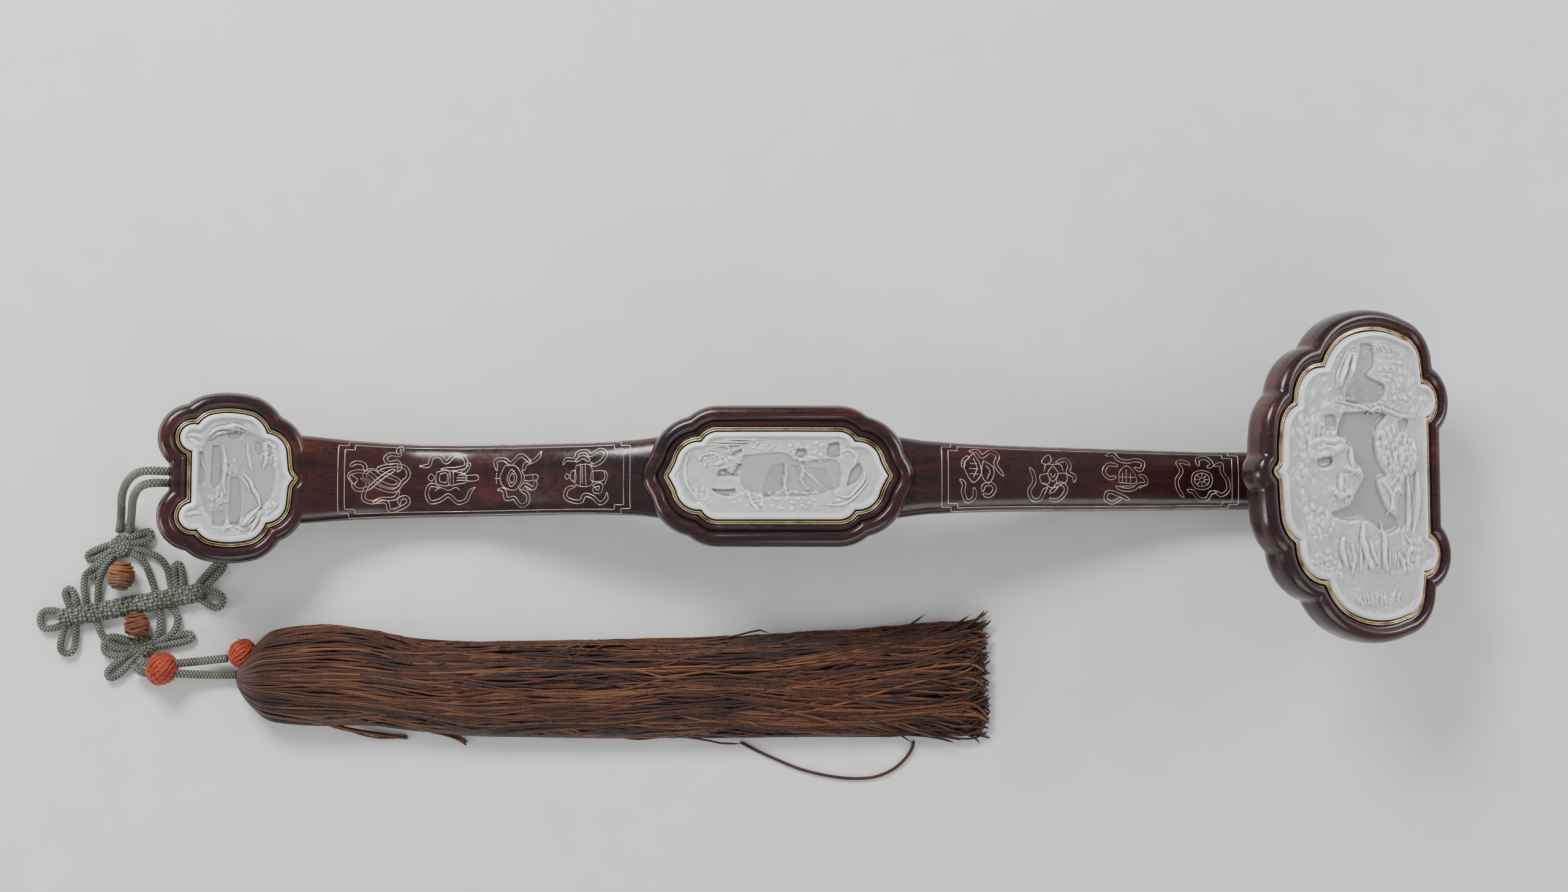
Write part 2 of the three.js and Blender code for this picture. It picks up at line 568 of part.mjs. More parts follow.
// The tassel's outline from its rounded head to its loose end: [x, middle y, half width, height].
const TASSEL = [
  [-206.6, -72.0, 5.0, 8.0], [-203.6, -72.4, 11.0, 12.5], [-198, -72.0, 16.0, 15.5], [-190, -70.8, 18.4, 17.0],
  [-176, -70.6, 18.6, 17.0], [-160, -71.4, 17.6, 16.0], [-140, -74.2, 17.0, 14.5], [-115, -75.6, 17.4, 14.0],
  [-80, -75.6, 18.0, 13.5], [-40, -75.0, 18.6, 13.0], [0, -74.0, 19.2, 12.0], [35, -73.2, 19.6, 10.5],
  [58, -72.8, 19.0, 8.5], [68, -72.6, 16.0, 6.0],
];

// A bundle of threads: a low rounded section with a flat underside and shallow flutes along it.
function tasselBody() {
  const sides = 14;
  const columns = [0, 1, 2, 3].map((k) => smoothRow(TASSEL.map((row) => row[k])));
  const rings = [];
  for (let s = 0; s <= TASSEL.length - 1; s += 1) {
    const [x, y, half, height] = columns.map((column) => column(s));
    const ring = [];
    for (let i = 0; i < sides; i++) {
      const turn = 2 * Math.PI * (i + 0.5) / sides;
      const flute = 1 + 0.035 * (i % 2 ? 1 : -1);
      const up = Math.sin(turn) > 0 ? Math.sin(turn) * flute : Math.max(Math.sin(turn), -0.5);
      const middle = height * 0.33;
      const z = FLOOR + middle + up * (up > 0 ? height - middle : middle * 2);
      ring.push(new THREE.Vector3(x, y + half * flute * Math.sign(Math.cos(turn)) * Math.abs(Math.cos(turn)) ** 0.8, z));
    }
    rings.push(ring);
  }
  const room = [restingBall(CORAL_SMALL.at, 5.0, 5.0, 5.2)];
  return cut(skin(rings), room);
}

// One thread has slipped out of the tassel's side and lies in a long loop on the floor.
const THREAD_R = 0.6;
const LOOSE_THREAD = [
  [-24.0, -95.0], [-19, -97.6], [-11, -101.2], [-2, -104.8], [8, -107.2], [17, -108.2], [25, -107.6], [31.5, -105],
  [36, -101.2], [38.6, -97.4], [39.4, -94.2],
].map(([x, y]) => [x, y, THREAD_R + FLOOR]);

// ---- the object ---------------------------------------------------------------------------------------

const silk = (name, color) => new THREE.MeshStandardMaterial({ name, color, roughness: 0.75, metalness: 0 });
const FINISH = {
  wood: new THREE.MeshStandardMaterial({ name: 'zitan wood', color: 0x3a2226, roughness: 0.35, metalness: 0 }),
  jade: new THREE.MeshStandardMaterial({ name: 'white jade', color: 0xdcdfe0, roughness: 0.3, metalness: 0 }),
  wire: new THREE.MeshStandardMaterial({ name: 'gilt wire', color: 0xd8c69a, roughness: 0.35, metalness: 0.9 }),
  cord: silk('green silk cord', 0x7d8b7c),
  bead: silk('orange thread', 0xb0673d),
  coral: silk('coral silk', 0xd9553a),
  tassel: silk('brown silk', 0x6e4334),
};

const sceptre = new THREE.Group();

function addNode(name, shape, material) {
  const mesh = new THREE.Mesh(fromManifold(solid(shape)), material);
  mesh.name = name;
  sceptre.add(mesh);
}

addNode('wood_sceptre', woodBody(), FINISH.wood);
addNode('jade_head', jadeBody(HEAD, HEAD_MOUNDS), FINISH.jade);
addNode('jade_middle', jadeBody(MIDDLE, MIDDLE_MOUNDS), FINISH.jade);
addNode('jade_tail', jadeBody(TAIL, TAIL_MOUNDS), FINISH.jade);
addNode('wire_rim_head', wireRim(HEAD), FINISH.wire);
addNode('wire_rim_middle', wireRim(MIDDLE), FINISH.wire);
addNode('wire_rim_tail', wireRim(TAIL), FINISH.wire);
addNode('cord_upper_far', strandTube(STRAND_A), FINISH.cord);
addNode('cord_upper_near', strandTube(STRAND_B), FINISH.cord);
addNode('cord_knotwork', knotwork(), FINISH.cord);
addNode('bead_upper', beadBody(BEAD_UPPER), FINISH.bead);
addNode('bead_lower', beadBody(BEAD_LOWER), FINISH.bead);
addNode('coral_knot_large', coralKnot(CORAL_LARGE), FINISH.coral);
addNode('coral_knot_small', coralKnot(CORAL_SMALL), FINISH.coral);
addNode('cord_lower_far', strandTube(STRAND_C), FINISH.cord);
addNode('cord_lower_near', strandTube(STRAND_D), FINISH.cord);
addNode('tassel', tasselBody(), FINISH.tassel);
addNode('tassel_loose_thread', cordTube(LOOSE_THREAD, THREAD_R, 15), FINISH.tassel);

export default sceptre;
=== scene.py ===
"""A ruyi sceptre: S-shaped dark hardwood, three carved jade plaques in moulded frames with wire rims,
silver wire inlay along the shaft, and a green silk cord with knotwork, beads and a long tassel.
Shapes are worked out in millimetres and go into the meshes in metres."""

import math

import bpy
import numpy as np
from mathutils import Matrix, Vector
from mathutils.bvhtree import BVHTree


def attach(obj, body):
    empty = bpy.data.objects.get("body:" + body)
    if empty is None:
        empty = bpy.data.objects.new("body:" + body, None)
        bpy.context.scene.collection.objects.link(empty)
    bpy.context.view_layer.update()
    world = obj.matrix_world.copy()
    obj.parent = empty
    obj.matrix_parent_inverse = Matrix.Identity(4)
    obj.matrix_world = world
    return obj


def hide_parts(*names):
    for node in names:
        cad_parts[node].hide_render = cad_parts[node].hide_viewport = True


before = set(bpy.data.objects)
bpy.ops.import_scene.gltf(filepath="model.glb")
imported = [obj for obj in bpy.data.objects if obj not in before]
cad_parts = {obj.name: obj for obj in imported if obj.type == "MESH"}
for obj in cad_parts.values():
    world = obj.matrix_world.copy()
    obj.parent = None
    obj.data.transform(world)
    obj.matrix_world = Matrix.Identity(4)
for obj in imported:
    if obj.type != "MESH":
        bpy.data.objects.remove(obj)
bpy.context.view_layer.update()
MM = 0.001
DEG = math.pi / 180
rng = np.random.default_rng(7)

# ---- driving sizes, in millimetres, as in the part ------------------------------------------------

# half: points [u, v, rise of the arc that leads there] of half the jade's outline, mirrored across v = 0
HEAD = dict(
    at=(189.2, 50), tilt=30, bow=0, border=8, thick=14, spine=((6, 6), 20),
    half=[(-34.8, 0, 0), (-32.4, 2.6, -0.3), (-31.6, 15, 0.2), (-25, 22.8, 1.5), (-12.4, 36.3, 4.5),
          (-1, 47.9, 1.8), (24, 48.3, 2.3), (31.4, 41.5, 1.6), (32.5, 33, 0), (34.8, 21.3, 5.8), (34.8, 0, 0)],
)
MIDDLE = dict(
    at=(-10, 43), tilt=0, bow=3.2, border=9.6, thick=12, spine=((-23, 23), 0),
    half=[(-38.4, 0, 0), (-35.6, 5.2, -0.1), (-26.8, 11.8, 2.2), (-21.3, 15.3, 0.9), (21.3, 15.3, 0),
          (26.8, 11.8, 0.9), (35.6, 5.2, 2.2), (38.4, 0, -0.1)],
)
TAIL = dict(
    at=(-203, 30), tilt=20, bow=0, border=7.5, thick=11, spine=((0, 0), 8),
    half=[(-14.3, 0, 0), (-14.3, 9.2, 0), (-12.3, 18.4, 5.2), (-7.5, 22.2, 0.6), (6.5, 21.8, 0.9),
          (11.4, 15.9, 0.8), (18.4, 8.8, 1.9), (18.9, 3.2, 0), (20.9, 0, -0.3)],
)
BAND, LEDGE, POCKET = -1.3, -2.4, -5.2
GAP = 0.3
JADE_RIM, JADE_GROUND = 0.5, -0.7

# x, height of the centre, lean, half width, half depth
SHAFT = [
    (-196, 22.0, 20, 17.0, 5.2), (-178, 15.6, 20, 15.6, 5.8), (-166, 11.8, 14, 14.6, 6.5),
    (-152, 8.0, 8, 13.8, 6.8), (-140, 6.8, 0, 13.4, 6.8), (-128, 6.8, 0, 13.2, 6.8),
    (-106, 12.6, -20, 13.0, 6.8), (-84, 21.4, -20, 12.9, 6.8), (-62, 28.2, -12, 13.4, 6.9),
    (-44, 30.8, -5, 15.0, 7.0), (-10, 32.0, 0, 15.0, 7.0), (24, 30.8, 5, 15.0, 7.0),
    (44, 28.2, 10, 13.0, 6.9), (70, 22.6, 14, 11.9, 6.8), (100, 14.9, 14, 11.4, 6.8),
    (128, 8.8, 9, 10.9, 6.8), (148, 6.8, 0, 10.5, 6.8), (160, 6.8, 0, 10.5, 6.8),
    (171, 9.8, -32, 11.2, 7.2), (179, 18.0, -52, 12.6, 8.0), (184, 29.0, -60, 16.0, 10.0),
    (188.6, 39.0, -60, 24.0, 14.5),
]
CORD_R, LOOP_R, FLOOR = 1.5, 1.3, 0.1
HOLE = dict(width=7.8, height=3.8, start=(-24.8, -5), end=(2, -12))


# ---- mesh helpers -----------------------------------------------------------------------------------

def new_object(name, verts, faces, smooth=True, angle=None):
    """A mesh object from points in millimetres and faces of any number of corners."""
    mesh = bpy.data.meshes.new(name)
    mesh.from_pydata((np.asarray(verts, float) * MM).tolist(), [], faces)
    mesh.validate()
    mesh.update()
    obj = bpy.data.objects.new(name, mesh)
    bpy.context.scene.collection.objects.link(obj)
    if smooth:
        mesh.polygons.foreach_set("use_smooth", np.ones(len(mesh.polygons), bool))
    if angle:
        mesh.set_sharp_from_angle(angle=angle * DEG)
    return obj


def grid_faces(rows, around, closed=False, base=0):
    """Quads between neighbouring rings of a grid whose rings close on themselves."""
    last = rows if closed else rows - 1
    r, i = np.meshgrid(np.arange(last), np.arange(around), indexing="ij")
    a, b = r * around, ((r + 1) % rows) * around
    j = (i + 1) % around
    quads = np.stack([a + i, b + i, b + j, a + j], -1).reshape(-1, 4)
    return quads + base


def signed_volume(verts, quads):
    """Six times the volume inside a closed skin of quads: positive if its faces point out."""
    a, b, c, d = (verts[quads[:, k]] for k in range(4))
    return (np.cross(b, c) * a).sum() + (np.cross(c, d) * a).sum()


def skin(name, rings, closed=False, angle=None):
    """A closed skin over rings of equal length, capped with one flat face at each end."""
    rings = np.asarray(rings, float)
    rows, around = rings.shape[:2]
    verts = rings.reshape(-1, 3)
    quads = grid_faces(rows, around, closed)
    if signed_volume(verts - verts.mean(0), quads) < 0:
        quads = quads[:, ::-1]
        flip = True
    else:
        flip = False
    faces = quads.tolist()
    if not closed:
        first = list(range(around))
        last = [(rows - 1) * around + k for k in range(around)]
        faces.append(first if flip else first[::-1])
        faces[-1] = first[::-1] if flip else first
        faces.append(last if flip else last[::-1])
    return new_object(name, verts, faces, angle=angle)


def recalculated(obj):
    """Turns every face of a closed mesh outwards."""
    import bmesh
    bm = bmesh.new()
    bm.from_mesh(obj.data)
    bmesh.ops.recalc_face_normals(bm, faces=bm.faces)
    bm.to_mesh(obj.data)
    bm.free()
    return obj


def combined(obj, tools):
    """Applies boolean steps to obj: tools is a list of (operation, object), used up on the way."""
    for operation, tool in tools:
        step = obj.modifiers.new("step", "BOOLEAN")
        step.operation, step.object, step.solver = operation, tool, "MANIFOLD"
    graph = bpy.context.evaluated_depsgraph_get()
    mesh = bpy.data.meshes.new_from_object(obj.evaluated_get(graph))
    obj.modifiers.clear()
    obj.data = mesh
    for _, tool in tools:
        bpy.data.objects.remove(tool)
    return obj


def catmull(points, count):
    """A smooth line through points, resampled to count points at equal distances."""
    p = np.asarray(points, float)
    p = np.vstack([2 * p[0] - p[1], p, 2 * p[-1] - p[-2]])
    knots = np.concatenate([[0], np.cumsum(np.linalg.norm(np.diff(p, axis=0), axis=1) ** 0.5)])
    out = []
    for i in range(1, len(p) - 2):
        t = np.linspace(knots[i], knots[i + 1], 40, endpoint=False)[:, None]
        k = knots[i - 1:i + 3]
        q = p[i - 1:i + 3]
        a = [((k[n + 1] - t) * q[n] + (t - k[n]) * q[n + 1]) / (k[n + 1] - k[n]) for n in range(3)]
        b = [((k[n + 2] - t) * a[n] + (t - k[n]) * a[n + 1]) / (k[n + 2] - k[n]) for n in range(2)]
        out.append(((k[2] - t) * b[0] + (t - k[1]) * b[1]) / (k[2] - k[1]))
    line = np.vstack([*out, p[-2]])
    return resampled(line, count)


def resampled(line, count):
    """The same line with count points at equal distances."""
    line = np.asarray(line, float)
    s = np.concatenate([[0], np.cumsum(np.linalg.norm(np.diff(line, axis=0), axis=1))])
    at = np.linspace(0, s[-1], count)
    return np.stack([np.interp(at, s, line[:, k]) for k in range(line.shape[1])], -1)


def line_length(line):
    return float(np.linalg.norm(np.diff(np.asarray(line, float), axis=0), axis=1).sum())


def frames(line):
    """Tangent, side and up along a line. The side stays level, and up completes the frame."""
    tangent = np.gradient(line, axis=0)
    tangent /= np.linalg.norm(tangent, axis=1, keepdims=True)
    side = np.zeros_like(line)
    up = np.array([0.0, 0.0, 1.0])
    for i, t in enumerate(tangent):
        up = up - t * (up @ t)
        up /= np.linalg.norm(up)
        side[i] = np.cross(t, up)
    ups = np.cross(side, tangent)
    return tangent, side, ups


def tube(name, line, radius, around=16, ends=True, uv=True):
    """A round tube along a line. Its ends close in a small dome. V runs along it in millimetres, U round it."""
    line = np.asarray(line, float)
    tangent, side, up = frames(line)
    radius = np.broadcast_to(np.asarray(radius, float), (len(line),)).copy()
    if ends:
        dome = radius[0] * np.array([0.05, 0.55, 0.85])
        line = np.vstack([line[:1], line[:1], line[:1], line, line[-1:], line[-1:], line[-1:]])
        shift = radius[3] * np.array([0.0, 0.18, 0.5])
        line[:3] = line[3] + tangent[0] * shift[:, None] * 0.6
        line[3] = line[3] + tangent[0] * radius[3] * 0.6
        line[-3:] = line[-4] - tangent[-1] * shift[::-1][:, None] * 0.6
        line[-4] = line[-4] - tangent[-1] * radius[-1] * 0.6
        radius = np.concatenate([dome, radius, dome[::-1]])
        side = np.vstack([side[:1]] * 3 + [side] + [side[-1:]] * 3)
        up = np.vstack([up[:1]] * 3 + [up] + [up[-1:]] * 3)
    turn = np.linspace(0, 2 * math.pi, around, endpoint=False)
    rings = line[:, None] + radius[:, None, None] * (
        side[:, None] * np.cos(turn)[None, :, None] + up[:, None] * np.sin(turn)[None, :, None])
    obj = skin(name, rings)
    if uv:
        along = np.concatenate([[0], np.cumsum(np.linalg.norm(np.diff(line, axis=0), axis=1))])
        tube_uv(obj, along, around, len(line))
    return obj


def tube_uv(obj, along, around, rows):
    """Writes a tube's UV map: U is the turn from 0 to 1 and V is the way along in millimetres."""
    mesh = obj.data
    index = np.zeros(len(mesh.loops), np.int32)
    mesh.loops.foreach_get("vertex_index", index)
    row, k = index // around, index % around
    u = k / around
    starts = np.zeros(len(mesh.polygons), np.int32)
    totals = np.zeros(len(mesh.polygons), np.int32)
    mesh.polygons.foreach_get("loop_start", starts)
    mesh.polygons.foreach_get("loop_total", totals)
    quad = np.flatnonzero(totals == 4)
    corners = starts[quad][:, None] + np.arange(4)
    wraps = (k[corners] == around - 1).any(1) & (k[corners] == 0).any(1)
    seam = corners[wraps].ravel()
    u[seam] = np.where(k[seam] == 0, 1.0, u[seam])
    layer = mesh.uv_layers.new(name="UVMap")
    layer.data.foreach_set("uv", np.stack([u, along[np.minimum(row, rows - 1)]], -1).astype(np.float32).ravel())


# ---- plaque outlines ----------------------------------------------------------------------------------

def arc_points(p, q, rise, step):
    """Points from p to q on the arc that rises to the left of the way, without p."""
    p, q = np.array(p, float), np.array(q, float)
    chord = q - p
    length = np.hypot(*chord)
    count = max(1, int(round(length / step)))
    t = np.arange(1, count + 1) / count
    if abs(rise) < 1e-6:
        return p + t[:, None] * chord
    left = np.array([-chord[1], chord[0]]) / length
    radius = (length ** 2 / 4 + rise ** 2) / (2 * rise)
    centre = (p + q) / 2 + left * (rise - radius)
    a0 = math.atan2(*(p - centre)[::-1])
    sweep = (math.atan2(*(q - centre)[::-1]) - a0) % (2 * math.pi)
    if rise > 0:
        sweep -= 2 * math.pi
    count = max(count, int(round(abs(radius * sweep) / step)))
    t = np.arange(1, count + 1) / count
    turn = a0 + sweep * t
    return centre + abs(radius) * np.stack([np.cos(turn), np.sin(turn)], -1)


def outline(plaque, step):
    """The whole outline of a jade plaque, from its half and the mirrored half.

    Where the line that the rays start from runs across, points on both sides are set at equal steps of v."""
    rows = plaque["half"]
    half = [np.array([rows[0][:2]], float)]
    for (u0, v0, _), (u1, v1, rise) in zip(rows, rows[1:]):
        half.append(arc_points((u0, v0), (u1, v1), rise, step))
    half = np.vstack(half)
    across = plaque["spine"][1]
    if across:
        steps = np.linspace(0, across, int(across / step) + 1)
        left = int(np.argmax(half[:, 1] > across))
        right = len(half) - int(np.argmax(half[::-1, 1] > across))
        first = np.stack([np.interp(steps, half[:left + 1, 1], half[:left + 1, 0]), steps], -1)
        last = half[right - 1:][::-1]
        last = np.stack([np.interp(steps, last[:, 1], last[:, 0]), steps], -1)[::-1]
        half = np.vstack([first, half[left:right], last])
    return np.vstack([half, half[1:-1][::-1] * (1, -1)])


def signed_distance(points, line):
    """Distance of points to a closed line, negative inside."""
    out = np.empty(len(points))
    a, b = line, np.roll(line, -1, 0)
    edge = b - a
    for s in range(0, len(points), 4000):
        p = points[s:s + 4000, None]
        t = np.clip(((p - a) * edge).sum(-1) / (edge ** 2).sum(-1), 0, 1)
        near = np.sqrt((((a + t[..., None] * edge) - p) ** 2).sum(-1)).min(1)
        crosses = (a[:, 1] > p[..., 1]) != (b[:, 1] > p[..., 1])
        with np.errstate(divide="ignore", invalid="ignore"):
            x = a[:, 0] + edge[:, 0] * (p[..., 1] - a[:, 1]) / edge[:, 1]
        inside = (crosses & (p[..., 0] < x)).sum(1) % 2 == 1
        out[s:s + 4000] = np.where(inside, -near, near)
    return out


def measured(plaque, step):
    """Adds to a plaque its outline, the rays from the spine through it, and how far out each ray is."""
    line = outline(plaque, step)
    (u0, u1), v1 = plaque["spine"]
    foot = np.stack([np.clip(line[:, 0], u0, u1), np.clip(line[:, 1], -v1, v1)], -1)
    ray = line - foot
    reach = np.hypot(*ray.T)
    ray /= reach[:, None]
    along = reach[:, None] + np.linspace(-5, 22, 90)
    points = foot[:, None] + along[..., None] * ray[:, None]
    coarse = outline(plaque, 0.8)
    out = signed_distance(points.reshape(-1, 2), coarse).reshape(along.shape)
    return dict(plaque, coarse=coarse, foot=foot, ray=ray, along=along, out=np.maximum.accumulate(out, 1))


def offset(plaque, distance):
    """The outline moved out by a distance along its rays: where each ray is that far from the outline."""
    t = np.array([np.interp(distance, o, a) for o, a in zip(plaque["out"], plaque["along"])])
    return plaque["foot"] + t[:, None] * plaque["ray"]


def placed(plaque, u, v, w):
    """Points at u towards the head, v across and w out of a plaque's face, in the row frame."""
    lean = plaque["tilt"] * DEG
    reach = max(abs(row[0]) for row in plaque["half"]) + plaque["border"]
    w = w - plaque["bow"] * (np.asarray(u) / reach) ** 2
    x0, z0 = plaque["at"]
    return np.stack(np.broadcast_arrays(
        x0 + u * math.cos(lean) + w * math.sin(lean), v, z0 - u * math.sin(lean) + w * math.cos(lean)), -1)


def ring(plaque, distance, w):
    p = offset(plaque, distance)
    return placed(plaque, p[:, 0], p[:, 1], w)


PLAQUES = {
    "head": measured(HEAD, 0.75),
    "middle": measured(MIDDLE, 0.6),
    "tail": measured(TAIL, 0.6),
}


# ---- wood ---------------------------------------------------------------------------------------------

def smooth_row(values):
    """A value along a row of stations, smooth and never past them: cubic pieces with harmonic slopes."""
    v = np.asarray(values, float)
    step = np.diff(v)
    before, after = np.r_[step[0], step], np.r_[step, step[-1]]
    with np.errstate(divide="ignore", invalid="ignore"):
        slope = np.where(before * after > 0, 2 * before * after / (before + after), 0)

    def at(s):
        i = np.minimum(s.astype(int), len(v) - 2)
        t = s - i
        held = (1 + 2 * t) * (1 - t) ** 2 * v[i] + t * t * (3 - 2 * t) * v[i + 1]
        return held + t * (1 - t) ** 2 * slope[i] - t * t * (1 - t) * slope[i + 1]
    return at


def signed_power(value, n):
    return np.sign(value) * np.abs(value) ** (2 / n)


def shaft_body(per_station=16, around=72):
    """The shaft: a rounded rectangle with a crowned top and a flat underside, carried along the S."""
    s = np.linspace(0, len(SHAFT) - 1, (len(SHAFT) - 1) * per_station + 1)
    x, z, lean, half_width, half_depth = (smooth_row(column)(s)[:, None] for column in zip(*SHAFT))
    turn = 2 * math.pi * (np.arange(around) + 0.5) / around
    across = half_width * signed_power(np.cos(turn), 3.2)
    low = np.where(turn > math.pi, 1.12, 1.0)
    up = half_depth * np.maximum(signed_power(np.sin(turn), 2.6) * low, -1)
    lean = lean * DEG
    rings = np.stack([x + up * np.sin(lean), across, z + up * np.cos(lean)], -1)
    return skin("wood_sceptre_carved", rings)


def rounded(points, cuts=3):
    """A profile with its corners cut again and again, its two ends kept (Chaikin's rule)."""
    p = np.asarray(points, float)
    for _ in range(cuts):
        a, b = p[:-1], p[1:]
        p = np.vstack([p[:1], np.stack([a * 0.75 + b * 0.25, a * 0.25 + b * 0.75], 1).reshape(-1, 2), p[-1:]])
    return p


def frame_body(plaque):
    """A frame round a plaque: domed back, round wall and moulding, then groove, band, ledge and pocket."""
    b, t = plaque["border"], plaque["thick"]
    outer = rounded([(-6, -t), (b - 3.0, -t + 0.6), (b - 0.3, -t + 4), (b, -t + 8), (b, -3.8), (b - 0.7, -0.9), (b - 2.4, 0.35),
                     (b - 4.2, 0.25), (b - 5.2, -0.9)])
    edge = max(b - 5.3, 4.0)
    inner = [(edge, -2.0), (edge - 0.3, -2.0), (edge - 0.35, BAND - 0.25), (edge - 0.65, BAND + 0.05), (2.3, BAND + 0.05),
             (2.0, BAND - 0.2), (1.95, LEDGE), (0.35, LEDGE - 0.05), (0.3, POCKET)]
    return skin("frame", [ring(plaque, d, w) for d, w in [*outer, *inner]])


def frame_room(plaque):
    """The room over a frame's floor, which the shaft leaves free."""
    side = plaque["border"] - 2.9
    return skin("room", [ring(plaque, side, POCKET - 1.5), ring(plaque, side, 12)])


def cord_passage():
    """The slot from the tail's end wall down to its back, a rounded section carried along a line."""
    u0, w0 = HOLE["start"]
    u1, w1 = HOLE["end"]
    start, end = (placed(TAIL, u, 0, w) for u, w in ((u0, w0), (u1 + 4, w1 - 1)))
    way = (end - start) / np.linalg.norm(end - start)
    up = np.cross(way, (0, 1, 0))
    turn = np.linspace(0, 2 * math.pi, 48, endpoint=False)
    r, half = HOLE["height"] / 2, HOLE["width"] / 2
    across = (half - r) * np.sign(np.cos(turn)) + r * np.cos(turn)
    section = across[:, None] * np.array([0.0, 1, 0]) + (r * np.sin(turn))[:, None] * up
    return recalculated(skin("passage", [start + section, end + section]))


def wood_sceptre():
    rooms = [("DIFFERENCE", frame_room(p)) for p in PLAQUES.values()]
    frames_ = [("UNION", frame_body(p)) for p in PLAQUES.values()]
    wood = combined(recalculated(shaft_body()), [(k, recalculated(o)) for k, o in [*rooms, *frames_]])
    wood = combined(wood, [("DIFFERENCE", cord_passage())])
    wood.data.polygons.foreach_set("use_smooth", np.ones(len(wood.data.polygons), bool))
    wood.data.set_sharp_from_angle(angle=42 * DEG)
    return wood


# ---- jade plaques -------------------------------------------------------------------------------------
# rows of the carving, laid over each other in turn, in millimetres towards the head and across:
# level: height, softness, corners. ridge: height, width, line. clumps: height, size, count, corners.
# streaks: height, width, count, and the two lines between which they fan out.

